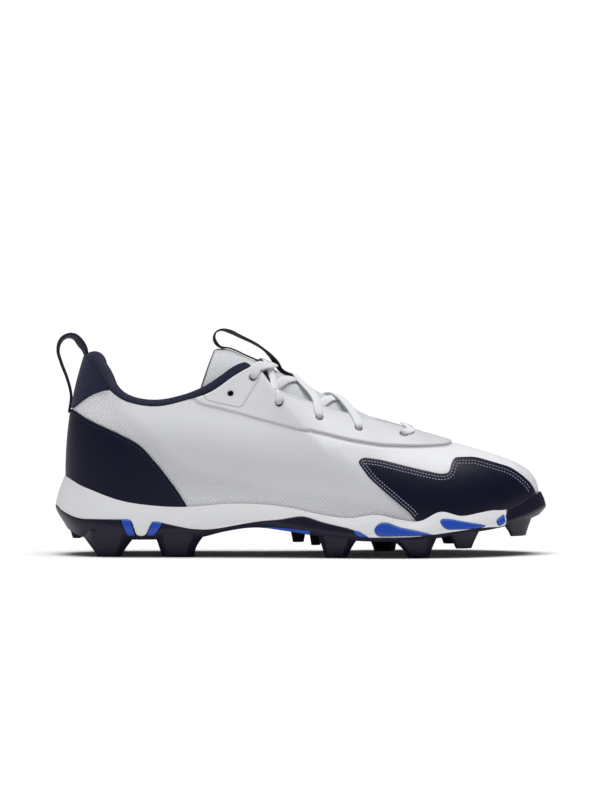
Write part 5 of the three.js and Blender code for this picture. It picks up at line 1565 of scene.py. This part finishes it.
@dataclass
class Bottom:
    """Midsole, plate, coloured inserts, studs and insole."""

    wardrobe: Wardrobe
    cells: int = 460

    def rows(self, under: bool) -> np.ndarray:
        """Returns the rows of the sole's face."""
        parts = [np.linspace(0, 1, 3)[:-1], np.linspace(1, 2, 7)[:-1], np.linspace(2, 3, 37)]
        if under:
            parts.append(np.linspace(3, 4, 23)[1:])
        return np.concatenate(parts)

    def shell(self) -> list[bpy.types.Object]:
        """Builds the white midsole and the navy plate on either side of the parting line."""
        line = eased(outline(PARTING), 3)
        pockets = [eased(outline(rows), 1.2) for rows in INSERTS.values()]

        def outside_pockets(points: np.ndarray, v: np.ndarray) -> np.ndarray:
            """Measures how far points are outside the inserts' pockets."""
            places = points[:, [0, 2]]
            away = np.min([-depth_inside(places, pocket) for pocket in pockets], axis=0) - GAP / 2
            return np.where((v > 2) & (v < 2.97), away, 9)

        def white(u: np.ndarray, v: np.ndarray, points: np.ndarray) -> np.ndarray:
            """Measures the depth inside the midsole."""
            deep = -depth_inside(points[:, [0, 2]], line) - 0.05
            return np.minimum(deep, outside_pockets(points, v))

        def navy(u: np.ndarray, v: np.ndarray, points: np.ndarray) -> np.ndarray:
            """Measures the depth inside the plate."""
            deep = depth_inside(points[:, [0, 2]], line) - 0.05
            return np.minimum(np.where(v > 2.97, np.maximum(deep, 5), deep), outside_pockets(points, v))

        made = []
        for name, measure, finish, slot, node, under in (
            ("midsole_cup", white, FOAM, "midsole", "midsole", False),
            ("outsole_plate", navy, PLATE, "outsole", "outsole", True),
        ):
            sheet = Sheet(
                name, SOLE_FACE.place, measure, (0, 1, self.cells), self.rows(under),
                thick=0.0, sink=-2.2, radius=0.45, levels=(0.0, 0.18, 0.5),
            )
            sheet.profile = lambda edge: -0.32 * (1 - np.sqrt(1 - (1 - np.clip(edge / 0.5, 0, 1)) ** 2))
            piece = sheet.build()
            drop_crumbs(piece)
            made.append(self.wardrobe.dress(piece, finish, slot, node))
        return made

    def inserts(self) -> list[bpy.types.Object]:
        """Builds the coloured inserts on both sides."""
        made = []
        for name, rows in INSERTS.items():
            line = eased(outline(rows), 1.2)
            at = np.array(rows)[:, 0]
            k = np.arccos(1 - 2 * (np.array([at.min(), at.max()]) - HEEL_BACK) / (TOE_FRONT - HEEL_BACK))
            low, high = k[0] / math.pi / 2 - 0.02, min(0.5, k[1] / math.pi / 2 + 0.03)
            for word, span in (("outer", (low, high)), ("inner", (1 - high, 1 - low))):
                cells = max(24, int((span[1] - span[0]) * 1100))
                sheet = Sheet(
                    f"insert_panel_{name}_{word}", SOLE_FACE.place,
                    lambda u, v, points, line=line: depth_inside(points[:, [0, 2]], line),
                    (*span, cells), np.linspace(2.05, 2.99, 56),
                    thick=INSERT_PROUD, sink=-INSERT_DEPTH, radius=0.7, levels=(0.0, 0.2, 0.6),
                )
                piece = sheet.build()
                made.append(self.wardrobe.dress(piece, BLUE, "insert", f"insert_{name}_{word}"))
        return made

    def strips(self) -> list[bpy.types.Object]:
        """Builds the coloured strips along the plate's lower edge in the arch."""

        def inside(u: np.ndarray, v: np.ndarray, points: np.ndarray) -> np.ndarray:
            """Measures the depth inside a strip."""
            x = points[:, 0]
            over = points[:, 2] - LAST.under(x / LENGTH + 0.5) * HEIGHT
            tall = np.interp(x, (-22, -8, 6), (0.9, 1.9, 2.7))
            return np.min([x + 22, 6.2 - x, tall - over, over + 0.02], axis=0)

        made = []
        for word, span in (("outer", (0.205, 0.275, 90)), ("inner", (0.725, 0.795, 90))):
            sheet = Sheet(
                f"insert_panel_shank_{word}", SOLE_FACE.place, inside, span, np.linspace(2.7, 3.0, 28),
                thick=0.35, sink=-0.8, radius=0.4, levels=(0.0, 0.15, 0.4),
            )
            made.append(self.wardrobe.dress(sheet.build(), BLUE, "insert", "outsole"))
        return made

    def blade(self) -> bpy.types.Object:
        """Builds the small blade at the back of the heel."""
        bpy.ops.object.select_all(action="DESELECT")
        bpy.ops.mesh.primitive_cube_add(size=1, location=(0, 0, 0))
        piece = bpy.context.object
        piece.name = piece.data.name = "stud_heel_blade"
        unit = corners(piece)
        tip = unit[:, 2] < 0
        rear = np.where(tip, 0.034, 0.028)
        front = np.where(tip, 0.05, 0.06)
        x = (np.where(unit[:, 0] < 0, rear, front) - 0.5) * LENGTH
        y = unit[:, 1] * np.where(tip, 21, 26)
        z = np.where(tip, 10.4, LAST.under(x / LENGTH + 0.5) * HEIGHT + 1.5)
        put(piece, np.column_stack([x, y, z]))
        bpy.ops.object.mode_set(mode="EDIT")
        bpy.ops.mesh.select_all(action="SELECT")
        bpy.ops.mesh.subdivide(number_cuts=3)
        bpy.ops.object.mode_set(mode="OBJECT")
        bevel = piece.modifiers.new("edge", "BEVEL")
        bevel.width, bevel.segments, bevel.limit_method = 0.8 * MM, 3, "ANGLE"
        bpy.ops.object.modifier_apply(modifier=bevel.name)
        smooth(piece, 35)
        return self.wardrobe.dress(piece, PLATE, "outsole", "outsole")

    def insole(self) -> bpy.types.Object:
        """Builds the insole, cupped up at its edge."""
        piece = flat_grid("insole_bed", 150, 24)
        unit = corners(piece)
        k, across = unit[:, 0], unit[:, 1]
        outer = LAST.off(k / 2, np.full(len(k), 0.03), -WALL - 0.6)
        inner = LAST.off(1 - k / 2, np.full(len(k), 0.03), -WALL - 0.6)
        top = outer + (inner - outer) * across[:, None]
        rim = np.maximum(np.abs(2 * across - 1), np.abs(2 * k - 1) ** 8)
        middle = LAST.footbed(top[:, 0] / LENGTH + 0.5) * HEIGHT
        top[:, 2] = middle + INSOLE - 0.4 + 1.2 * rim**6
        under = top.copy()
        under[:, 2] = middle + 0.5
        faces = [list(face.vertices) for face in piece.data.polygons]
        count = len(top)
        mesh = bmesh.new()
        mesh.from_mesh(piece.data)
        rims = []
        for line in mesh.edges:
            if line.is_boundary:
                loop = line.link_loops[0]
                a, b = loop.vert.index, loop.link_loop_next.vert.index
                rims.append([b, a, a + count, b + count])
        mesh.free()
        behind = [[i + count for i in reversed(face)] for face in faces]
        refill(piece, np.vstack([top, under]), faces + behind + rims)
        merge(piece, 0.01)
        smooth(piece, 40)
        points = corners(piece)
        store(piece, "flat", points)
        return self.wardrobe.dress(piece, TEXTILE, "lining", "insole")

    def build(self) -> list[bpy.types.Object]:
        """Builds everything under the foot."""
        made = self.shell() + self.inserts()
        made += [Stud(*row).build(self.wardrobe) for row in STUDS]
        return made + self.strips() + [self.blade(), self.insole()]


def closed_loft(name: str, rings: np.ndarray, flat: np.ndarray) -> bpy.types.Object:
    """Lays a grid over rings, closing it into a tube with drawn-in ends.

    Args:
        name: The piece's name.
        rings: Rings of points, ring by ring.
        flat: Places on the flat pattern, like the rings.

    Returns:
        The piece.
    """
    ring_count, count, _ = rings.shape
    piece = flat_grid(name, ring_count - 1, count)
    unit = corners(piece)
    i = np.rint(unit[:, 0] * (ring_count - 1)).astype(int)
    j = np.rint(unit[:, 1] * count).astype(int) % count
    put(piece, rings[i, j])
    store(piece, "flat", flat[i, j] * MM)
    merge(piece, 0.004)
    return piece


@dataclass
class Collar:
    """The padded collar with its lining."""

    wardrobe: Wardrobe
    steps: int = 190
    around: int = 44
    evening: int = 18

    def ring(self, turn: float) -> np.ndarray:
        """Returns one section of the collar.

        Args:
            turn: How far round the shoe.

        Returns:
            Its points.
        """
        k = abs(turn) * 2
        roll, pad, reach = (float(Curve(COLLAR, i, True)(k)) for i in (1, 2, 3))
        if turn < 0:
            roll *= 1 - 0.6 * float(ease((k - 0.2) / 0.1))
        edge = LAST.off(turn, 1.0, 0.0)[0]
        normal = LAST.off(turn, 1.0, 1.0)[0] - edge
        up = edge - LAST.off(turn, 0.97, 0.0)[0]
        up /= np.linalg.norm(up)
        low = LAST.climb_below(turn, reach)
        back = WALL + LINING_ROOM

        def inner(climb: float, offset: float) -> np.ndarray:
            """Returns a point inside the upper."""
            return LAST.off(turn, climb, offset)[0]

        section = [edge + up * GAP / 2 + normal * 0.6]
        section += [edge - normal * out * pad + up * high * roll for out, high in ROLL]
        section.append(inner(1 + (low - 1) * 0.5, -(pad + (back + LINING - pad) * 0.25)))
        section.append(inner(1 + (low - 1) * 0.85, -(pad + (back + LINING - pad) * 0.7)))
        section.append(inner(low, -back - LINING * 0.6))
        section += [inner(low + (1 - low) * part, -back) for part in (0, 0.4, 0.75)]
        section.append(edge - normal * back + up * GAP)
        return smooth_line(section, self.around, True)

    def build(self) -> bpy.types.Object:
        """Builds the collar as a padded piece."""
        last = COLLAR[-1][0] / 2
        turns = np.linspace(-last, last, self.steps)
        rings = np.array([self.ring(turn) for turn in turns])
        for _ in range(self.evening):
            rings[1:-1] = rings[1:-1] / 2 + (rings[:-2] + rings[2:]) / 4
        for end, near in ((0, 1), (-1, -2)):
            rings[end] = rings[end].mean(axis=0)
            rings[near] = rings[near].mean(axis=0) + (rings[near] - rings[near].mean(axis=0)) * 0.8
        run = np.r_[0, np.cumsum(np.linalg.norm(np.diff(rings.mean(axis=1), axis=0), axis=1))]
        reach = np.linalg.norm(np.diff(rings, axis=1, append=rings[:, :1]), axis=2)
        along = np.broadcast_to(run[:, None], rings.shape[:2])
        flat = np.dstack([along, np.cumsum(reach, axis=1), np.zeros(rings.shape[:2])])
        piece = closed_loft("collar_pad", rings, flat)
        points = corners(piece) / MM
        seam_and_shade = line_distance(points, rings[:, 0], False)
        store(piece, "seam_and_shade", 0.85 * np.exp(-((seam_and_shade / 0.9) ** 2)))
        smooth(piece, 80)
        return self.wardrobe.dress(piece, KNIT, "lining", "collar")


@dataclass
class Tongue:
    """The padded tongue."""

    wardrobe: Wardrobe
    long: int = 130
    wide: int = 56

    def half(self, middle: np.ndarray, row: Sequence[float], side: int) -> np.ndarray:
        """Returns one side of a row.

        Args:
            middle: The row's middle.
            row: k of the column beside it, then its edge's and wing's depth.
            side: Which side.

        Returns:
            Points from near the middle to the wing.
        """
        k, edge_depth, wing_depth = row
        lean = 0.1 + 0.3 * float(ease((k - 0.45) / 0.07))
        turn = turn_of(k, side)
        pad = float(Curve(COLLAR, 2, True)(k)) if k < COLLAR[-1][0] else 0.0
        inset = -(max(WALL, pad) + TONGUE_ROOM)
        edge = LAST.off(turn, LAST.climb_below(turn, edge_depth), inset)[0]
        wing = LAST.off(turn, LAST.climb_below(turn, wing_depth), inset)[0]
        inwards = (edge - wing) / np.linalg.norm(edge - wing)
        hold = np.array([middle[0], edge[1] * 0.6, middle[2]])
        pull = edge + inwards * lean * np.linalg.norm(edge - middle)
        part = np.array([0.28, 0.52, 0.76, 1.0])[:, None]
        rest = 1 - part
        arc = middle * rest**3 + hold * 3 * rest**2 * part + pull * 3 * rest * part**2 + edge * part**3
        return np.vstack([arc, wing])

    def held(self, points: np.ndarray, room: float = 0.4) -> np.ndarray:
        """Keeps points inside the upper's wall.

        Args:
            points: The points.
            room: The least distance from the wall.

        Returns:
            The points, moved inwards where they were too close to it.
        """
        rows = 40
        turns, climbs = np.linspace(0, 1, 301), np.linspace(0.3, 1, rows + 1)
        wall = LAST.off(np.repeat(turns, rows + 1), np.tile(climbs, 301), -WALL)
        faces = []
        for i in range(300):
            for j in range(rows):
                start = i * (rows + 1) + j
                faces.append((start, start + rows + 1, start + rows + 2, start + 1))
        tree = BVHTree.FromPolygons(wall.tolist(), faces)
        result = points.copy()
        for i, point in enumerate(points):
            spot, normal, face, away = tree.find_nearest(Vector(point))
            if face % rows == rows - 1 or away > 9:
                continue
            out = np.array(normal)
            axis = np.array([spot.x, float(LAST.centre(spot.x / LENGTH + 0.5)) * BALL_WIDTH, 40])
            if (np.array(spot) - axis) @ out < 0:
                out = -out
            depth = (point - np.array(spot)) @ out
            if depth > -room:
                result[i] = point - out * (depth + room)
        return result

    def face(self) -> tuple[np.ndarray, np.ndarray]:
        """Returns the tongue's upper face and its thickness, row by row."""
        rows = []
        for at, up, k, edge, wing, thick in TONGUE_ROWS:
            rows.append((np.array([(at - 0.5) * LENGTH, 0, up * HEIGHT]), (k, edge, wing), thick))
        for below, k, edge, wing, thick in TONGUE_FRONT:
            middle = LAST.off(0.5, LAST.climb_below(0.5, below), -WALL - TONGUE_ROOM)[0]
            rows.append((middle, (k, edge, wing), thick))
        lines = []
        for middle, row, _ in rows:
            outer, inner = self.half(middle, row, -1), self.half(middle, row, 1)
            lines.append(smooth_line(np.vstack([outer[::-1], middle, inner]), self.wide + 1))
        table = np.array(lines)
        run = np.r_[0, np.cumsum(np.linalg.norm(np.diff(table[:, self.wide // 2], axis=0), axis=1))]
        stops = np.linspace(0, run[-1], self.long + 1)
        fine = np.empty((self.long + 1, self.wide + 1, 3))
        for j in range(self.wide + 1):
            for axis in range(3):
                fine[:, j, axis] = Curve(np.column_stack([run, table[:, j, axis]]), 1)(stops)
        thick = np.interp(stops, run, [row[2] for row in rows])
        return fine, thick

    def build(self) -> bpy.types.Object:
        """Builds the tongue as a padded piece."""
        face, thick = self.face()
        ahead = np.gradient(face, axis=0)
        across = np.gradient(face, axis=1)
        normal = np.cross(ahead, across)
        normal /= np.linalg.norm(normal, axis=2, keepdims=True)
        normal *= np.sign(normal[..., 2:].mean())
        along_share = np.linspace(0, 1, self.long + 1)[:, None]
        side_share = np.abs(np.linspace(-1, 1, self.wide + 1))[None, :]
        rim_side = np.sqrt(np.clip(1 - np.clip((side_share - 0.86) / 0.14, 0, 1) ** 2, 0, 1))
        rim_end = np.sqrt(np.clip(1 - np.clip((0.02 - along_share) / 0.02, 0, 1) ** 2, 0, 1))
        rim_front = np.sqrt(np.clip(1 - np.clip((along_share - 0.97) / 0.03, 0, 1) ** 2, 0, 1))
        body = thick[:, None] * rim_side * rim_end * rim_front
        top = face - normal * ((thick[:, None] - body) / 2 * 0.6)[..., None]
        under = top - normal * body[..., None]
        rings = np.concatenate([top, under[:, ::-1]], axis=1)
        rings = self.held(rings.reshape(-1, 3)).reshape(rings.shape)
        run = np.r_[0, np.cumsum(np.linalg.norm(np.diff(face[:, self.wide // 2], axis=0), axis=1))]
        wide = np.linspace(-1, 1, self.wide + 1) * 32
        flat = np.zeros(rings.shape)
        flat[..., 0] = run[:, None]
        flat[..., 1] = np.r_[wide, wide[::-1]]
        piece = flat_grid("tongue_pad", self.long, rings.shape[1])
        unit = corners(piece)
        i = np.rint(unit[:, 0] * self.long).astype(int)
        j = np.rint(unit[:, 1] * rings.shape[1]).astype(int) % rings.shape[1]
        put(piece, rings[i, j])
        store(piece, "flat", flat[i, j] * MM)
        places = (rings[i, j])[:, [0, 2]]
        # Navy binding along the tongue's top end, and painted shade on its flank in the gap under the top
        # lace
        gap_shade = ease((depth_inside(places, eased(outline(SHADE_PATCH), 1.5)) + 0.2) / 0.7)
        store(piece, "binding_and_shade", np.maximum(np.where(run[i] < 1.0, 1.0, 0.0), gap_shade))
        merge(piece, 0.01)
        smooth(piece, 80)
        return self.wardrobe.dress(piece, SPACER, "mesh", "tongue")


@dataclass
class Strap:
    """A flat strap along a line, with rounded edges.

    Attributes:
        name: The piece's name.
        line: Points it passes through.
        up: Where its broad face looks at each of them.
        width: Its width.
        thick: Its thickness.
        steps: Rings along it.
        shape: Share of width and thickness at each point.
    """

    name: str
    line: np.ndarray
    up: np.ndarray
    width: float
    thick: float
    steps: int = 60
    shape: np.ndarray | None = None
    around: int = 14

    def build(self) -> bpy.types.Object:
        """Builds the strap as a closed tube."""
        count = len(self.line)
        shape = np.ones((count, 2)) if self.shape is None else self.shape
        table = smooth_line(np.hstack([self.line, self.up * 3, shape * 2]), self.steps)
        line, up, size = table[:, :3], table[:, 3:6], table[:, 6:] / 2
        along = np.gradient(line, axis=0)
        along /= np.linalg.norm(along, axis=1, keepdims=True)
        up = up - along * np.sum(up * along, axis=1, keepdims=True)
        up /= np.linalg.norm(up, axis=1, keepdims=True)
        level = np.cross(up, along)
        angle = np.linspace(0, math.tau, self.around, endpoint=False)
        wide = np.sign(np.cos(angle)) * np.abs(np.cos(angle)) ** 0.7
        high = np.sign(np.sin(angle)) * np.abs(np.sin(angle)) ** 0.7
        ends = np.ones(self.steps)
        ends[[0, -1]] = 0.02
        half_wide = self.width / 2 * size[:, 0] * ends
        half_high = self.thick / 2 * size[:, 1] * ends
        rings = (
            line[:, None]
            + level[:, None] * (half_wide[:, None] * wide)[..., None]
            + up[:, None] * (half_high[:, None] * high)[..., None]
        )
        run = np.r_[0, np.cumsum(np.linalg.norm(np.diff(line, axis=0), axis=1))]
        flat = np.zeros(rings.shape)
        flat[..., 0] = run[:, None]
        flat[..., 1] = wide * self.width / 2
        piece = closed_loft(self.name, rings, flat)
        smooth(piece, 70)
        return piece


@dataclass
class Loops:
    """The pull loops at heel and tongue."""

    wardrobe: Wardrobe
    tongue: bpy.types.Object

    def over_tongue(self, x: float, lift: float) -> np.ndarray:
        """Returns a point over the tongue's middle line."""
        tree = BVHTree.FromObject(self.tongue, bpy.context.evaluated_depsgraph_get())
        spot, _, _, _ = tree.ray_cast(Vector((x * MM, 0, 0.3)), Vector((0, 0, -1)))
        return np.array([x, 0, spot.z / MM + lift])

    def build(self) -> list[bpy.types.Object]:
        """Builds both loops."""
        lift = WEB_THICK / 2 + GAP
        start = LAST.off(0.0, LAST.climb_below(0.0, 26), GAP + OVERLAY + lift)[0]
        lower = LAST.off(0.0, LAST.climb_below(0.0, 37), GAP + OVERLAY + 0.5)[0]
        free = [start + (forward, 0, up) for forward, up in HEEL_LOOP]
        line = np.array([lower, *free])
        twist = np.interp(np.arange(len(line)), (0, 4, 7, 9, len(line) - 1), (0, 5, 20, 32, 12))
        heel = self.web("heel_pull_loop", line, 9.0, 90, -1, twist)
        self.wardrobe.dress(heel, HEEL_WEB, "webbing", "heel_loop")
        base = self.over_tongue((0.488 - 0.5) * LENGTH, GAP + WEB_THICK)
        free = [base + (forward, 0, up) for forward, up in TONGUE_LOOP]
        seat = [
            self.over_tongue((at - 0.5) * LENGTH, WEB_THICK / 2 + 0.1)
            for at in (0.338, 0.352, 0.368, 0.384, 0.4, 0.416, 0.43)
        ]
        tail = [self.over_tongue((at - 0.5) * LENGTH, WEB_THICK / 2 + 0.1) for at in (0.508, 0.498)]
        line = np.array([*tail, *free, *seat])
        twist = np.interp(np.arange(len(line)), (0, 2, 5, 7, 10, 12, 14, 16), (2, 8, 30, 12, 20, 4, 14, 0))
        loop = self.web("tongue_pull_loop", line, 7.0, 150, 1, twist, 1.0)
        self.wardrobe.dress(loop, WEB, "webbing", "tongue_loop")
        return [heel, loop]

    def web(
        self, name: str, line: np.ndarray, width: float, steps: int, side: int, twist: np.ndarray,
        thick: float = WEB_THICK,
    ) -> bpy.types.Object:
        """Builds a strap that stands in the side view.

        Args:
            name: The piece's name.
            line: Its points.
            width: Its width.
            steps: Rings along it.
            side: Which way its broad face looks.
            twist: How far it is turned about its line at each point, in degrees.
            thick: Its thickness.

        Returns:
            The strap.
        """
        along = np.gradient(line, axis=0)
        up = np.cross(along, (0, side, 0))
        up /= np.linalg.norm(up, axis=1, keepdims=True)
        angle = np.radians(twist)[:, None]
        up = up * np.cos(angle) + np.array([0, -1.0, 0]) * np.sin(angle)
        return Strap(name, line, up, width, thick, steps).build()


@dataclass
class Laces:
    """The flat lace, run through its eyelets."""

    wardrobe: Wardrobe
    tongue: bpy.types.Object
    lift: float = OVERLAY + GAP + 0.8

    def __post_init__(self) -> None:
        """Keeps the tongue for rays to meet."""
        self.tree = BVHTree.FromObject(self.tongue, bpy.context.evaluated_depsgraph_get())
        self.holes = [
            LAST.off(turn_of(k, side), LAST.climb_below(turn_of(k, side), below), 0.9)[0]
            for k, below, _ in EYELETS for side in (-1, 1)
        ]

    def on_tongue(self, x: float, y: float, lift: float) -> tuple[np.ndarray, np.ndarray]:
        """Returns a point over the tongue and the way its face looks."""
        spot, normal, _, _ = self.tree.ray_cast(Vector((x * MM, y * MM, 0.3)), Vector((0, 0, -1)))
        if spot is None:
            return np.array([x, y, -1e3]), np.array([0.0, 0, 1])
        way = np.array(normal) * (1 if normal.z > 0 else -1)
        return np.array(spot) / MM + way * lift, way

    def from_eyelet(self, number: int, side: int) -> list[tuple[np.ndarray, np.ndarray, float, float]]:
        """Returns the way out of an eyelet and up to the throat's edge.

        Args:
            number: Which eyelet.
            side: Which side.

        Returns:
            Points, the way the lace looks there, and its shares of width and thickness.
        """
        k, below, edge = EYELETS[number]
        turn = turn_of(k, side)
        climb = LAST.climb_below(turn, below)
        hole = LAST.off(turn, climb, 0.0)[0]
        normal = LAST.off(turn, climb, 1.0)[0] - hole

        def on_wall(part: float, lift: float) -> tuple[np.ndarray, np.ndarray]:
            """Returns a point between the eyelet and the edge."""
            column = turn_of(k + (edge - k) * part, side)
            height = climb + (1 - climb) * part
            base = LAST.off(column, height, lift)[0]
            return base, LAST.off(column, height, lift + 1)[0] - base

        ahead = on_wall(0.3, 0.0)[0] - hole
        ahead /= np.linalg.norm(ahead)
        result = [
            (hole - normal * (WALL + 1.6) + ahead * 0.6, -ahead, 0.6, 1.2),
            (hole + normal * 0.2, -ahead, 0.6, 1.2),
            (hole + normal * (self.lift - 0.35) + ahead * 0.8, (normal - ahead) * 0.7, 0.68, 1.2),
        ]
        length = np.linalg.norm(on_wall(1.0, 0.0)[0] - hole)
        parts = np.linspace(min(0.45, 3.2 / length), 0.94, 5)
        for part in parts:
            spot, way = on_wall(part, self.lift)
            result.append((spot, way, 0.92 if part < 0.3 else 1.0, 1.0))
        return result

    def into_eyelet(self, number: int, side: int) -> list[tuple[np.ndarray, np.ndarray, float, float]]:
        """Returns the way under the throat's edge and behind an eyelet."""
        k, below, edge = EYELETS[number]
        turn = turn_of(k, side)
        climb = LAST.climb_below(turn, below)
        result = []
        for part in (0.85, 0.68, 0.5, 0.33, 0.16, 0.0):
            column = turn_of(k + (edge - k) * part, side)
            height = climb + (1 - climb) * part
            base = LAST.off(column, height, -WALL - 1.0)[0]
            way = base - LAST.off(column, height, -WALL - 2.0)[0]
            result.append((base, way, 0.8, 0.7))
        return result

    def taut(self, places: list, room: float) -> list:
        """Drops the places that a tight lace passes over."""
        first = places[0][0]
        kept: list = []
        for place in places:
            while len(kept) > 1:
                a, b = kept[-2][0], kept[-1][0]
                away = [np.linalg.norm(p[:2] - first[:2]) for p in (a, b, place[0])]
                if (b[2] - a[2]) * (away[2] - away[0]) > (place[0][2] - a[2]) * (away[1] - away[0]) - room:
                    break
                kept.pop()
            kept.append(place)
        return kept

    def strand(self, name: str, source: int, target: int, side: int, over: float) -> bpy.types.Object:
        """Builds a strand from an eyelet across the tongue to the next one opposite.

        Args:
            name: The piece's name.
            source: Eyelet that it comes out of.
            target: Eyelet behind which it ends.
            side: Side that it starts on.
            over: How far it arches over the other strand.

        Returns:
            The strand.
        """
        start = self.from_eyelet(source, side)
        finish = self.into_eyelet(target, -side)
        here, there = start[-1][0], finish[0][0]
        middle = []
        for part in np.linspace(0.1, 0.9, 9):
            x, y = (here + (there - here) * part)[:2]
            hump = over * math.exp(-(((part - 0.5) / 0.16) ** 2))
            spot, way = self.on_tongue(x, y, LACE_ROOM + LACE_THICK / 2 + hump)
            if spot[2] > 0:
                middle.append((spot, way, 1.0, 1.0))
        places = start[:-1] + self.taut([start[-1], *middle, finish[0]], 0.0) + finish[1:]
        return self.lay(name, places)

    def bar(self, name: str, number: int, bow: float, rise: float) -> bpy.types.Object:
        """Builds a strand straight across between a pair of eyelets.

        Args:
            name: The piece's name.
            number: Which pair.
            bow: How far its middle bows forward.
            rise: How far over the tongue it lies.

        Returns:
            The strand.
        """
        left, right = self.from_eyelet(number, -1), self.from_eyelet(number, 1)[::-1]
        here, there = left[-1][0], right[0][0]
        middle = []
        for part in np.linspace(0.12, 0.88, 9):
            spot = here + (there - here) * part
            x = spot[0] + bow * 4 * part * (1 - part)
            place, way = self.on_tongue(x, spot[1], LACE_ROOM + LACE_THICK / 2 + rise)
            if place[2] > 0:
                middle.append((place, way, 1.0, 1.0))
        return self.lay(name, left[:-1] + self.taut([left[-1], *middle, right[0]], 0.0) + right[1:])

    def lay(self, name: str, places: list) -> bpy.types.Object:
        """Builds a strap through places, with painted shade where it dives into an eyelet."""
        line = np.array([place[0] for place in places])
        up = np.array([place[1] / np.linalg.norm(place[1]) for place in places])
        shape = np.array([place[2:] for place in places], float)
        piece = Strap(name, line, up, LACE_WIDTH, LACE_THICK, 110, shape).build()
        points = corners(piece) / MM
        # Painted shade on the lace near each eyelet hole
        shade = np.zeros(len(points))
        for hole in self.holes:
            shade = np.maximum(shade, np.exp(-((np.linalg.norm(points - hole, axis=1) / 2.2) ** 2)))
        store(piece, "seam_and_shade", 0.75 * shade)
        return piece

    def build(self) -> list[bpy.types.Object]:
        """Builds every strand."""
        dress = self.wardrobe.dress
        made = [dress(self.bar("lace_toe", 5, 0.5, 0.0), LACE, "lace", "lace_bar_toe")]
        for source, target, node in (
            (4, 3, "lace_cross_toe"), (3, 2, "lace_cross_middle"), (2, 1, "lace_ankle")
        ):
            for side, word, over in ((-1, "outer", 1.7), (1, "inner", 0.0)):
                strand = self.strand(f"lace_{source}_{word}", source, target, side, over)
                made.append(dress(strand, LACE, "lace", node))
        made.append(dress(self.bar("lace_top", 1, 7.5, 2.0), LACE, "lace", "lace_ankle"))
        return made


@dataclass(frozen=True)
class Studio:
    """Floor, lights and camera.

    Attributes:
        distance: From the camera to the shoe, in metres.
        tall: Height of the picture at the shoe, in metres.
        elevation: How far the camera looks down, in degrees.
        sky: Brightness of the surroundings.
        lean: How far the light leans to the camera's side and to the heel, in degrees.
    """

    distance: float = 8.0
    tall: float = 0.49
    elevation: float = 2.5
    sky: float = 0.13
    lean: tuple[float, float] = (3, 0)

    def build(self) -> None:
        """Builds the plain studio."""
        scene = bpy.context.scene
        scene.view_settings.view_transform = "Standard"
        world = bpy.data.worlds.new("studio")
        scene.world = world
        world.use_nodes = True
        world.node_tree.nodes["Background"].inputs[0].default_value = (1, 1, 1, 1)
        world.node_tree.nodes["Background"].inputs[1].default_value = self.sky
        bpy.ops.object.select_all(action="DESELECT")
        bpy.ops.mesh.primitive_plane_add(size=120, location=(0, 0, 0))
        floor = bpy.context.object
        floor.name = "floor"
        graph = Graph("floor_white")
        graph.shader.inputs["Base Color"].default_value = (0.96, 0.96, 0.96, 1)
        graph.shader.inputs["Roughness"].default_value = 0.9
        graph.shader.inputs["Specular IOR Level"].default_value = 0.0
        graph.shader.inputs["Emission Color"].default_value = (1, 1, 1, 1)
        graph.shader.inputs["Emission Strength"].default_value = 0.01
        floor.data.materials.append(graph.material)
        floor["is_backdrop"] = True
        self.light("overhead", self.lean, 48, 3.02)
        target = Vector((0, -0.04, 0.0968))
        tilt = math.radians(self.elevation)
        back = Vector((0, -math.cos(tilt), math.sin(tilt)))
        bpy.ops.object.camera_add(location=target + back * self.distance)
        camera = bpy.context.object
        camera.rotation_euler = (-back).to_track_quat("-Z", "Y").to_euler()
        camera.data.sensor_width = 36
        camera.data.lens = 36 * self.distance / self.tall
        camera.data.clip_end = 200
        scene.camera = camera

    def light(self, name: str, lean: tuple[float, float], spread: float, power: float) -> None:
        """Adds an even, soft light from above.

        Args:
            name: Its name.
            lean: How far it leans to the camera's side and to the heel, in degrees.
            spread: How soft its shadows are, in degrees.
            power: Its strength.
        """
        bpy.ops.object.light_add(type="SUN", location=(0, 0, 1))
        light = bpy.context.object
        light.name = name
        light.data.angle = math.radians(spread)
        light.data.energy = power
        light.rotation_euler = (math.radians(lean[0]), -math.radians(lean[1]), 0)


def sew(wardrobe: Wardrobe, panels: dict[str, bpy.types.Object]) -> None:
    """Sews the stitches along the panels' edges.

    Args:
        wardrobe: The finishes.
        panels: The panels by name.
    """
    toe = eased(outline(TOE_OVERLAY), 3.5, 6)
    start = int(np.argmin(np.linalg.norm(toe - outline(((0.76, 0.1),)), axis=1)))
    ring = np.roll(toe, -start - 3, axis=0)
    top = ring[(ring[:, 0] < outline(((0.978, 0),))[0, 0]) & (ring[:, 1] > 0.19 * HEIGHT)]
    fine = smooth_line(top, 260)
    lines = [inward(fine, 1.6), inward(fine, 3.3)]
    for side, word in ((-1, "outer"), (1, "inner")):
        Stitching(wardrobe, panels[word]).lay(f"stitches_toe_{word}", lines, side, THREAD)
    edge = smooth_line(outline(COUNTER[1:-1]), 120)
    for side, word in ((-1, "outer"), (1, "inner")):
        stitching = Stitching(wardrobe, panels["counter"], 2.6, 1.4, 0.18)
        stitching.lay(f"stitches_counter_{word}", [inward(edge, 2.2)], side, THREAD_DARK)


def main() -> None:
    """Builds the shoe and the studio."""
    logging.basicConfig(level=logging.INFO, format="%(message)s")
    Studio().build()
    wardrobe = Wardrobe()
    panels = Upper(wardrobe).build()
    Bottom(wardrobe).build()
    Collar(wardrobe).build()
    tongue = Tongue(wardrobe).build()
    Loops(wardrobe, tongue).build()
    Laces(wardrobe, tongue).build()
    sew(wardrobe, panels)
    boxes = {"cad": CAD_BOX, "visual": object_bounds()}
    {name: [list(corner) for corner in pair] for name, pair in boxes.items()}


if __name__ == "__main__":
    main()
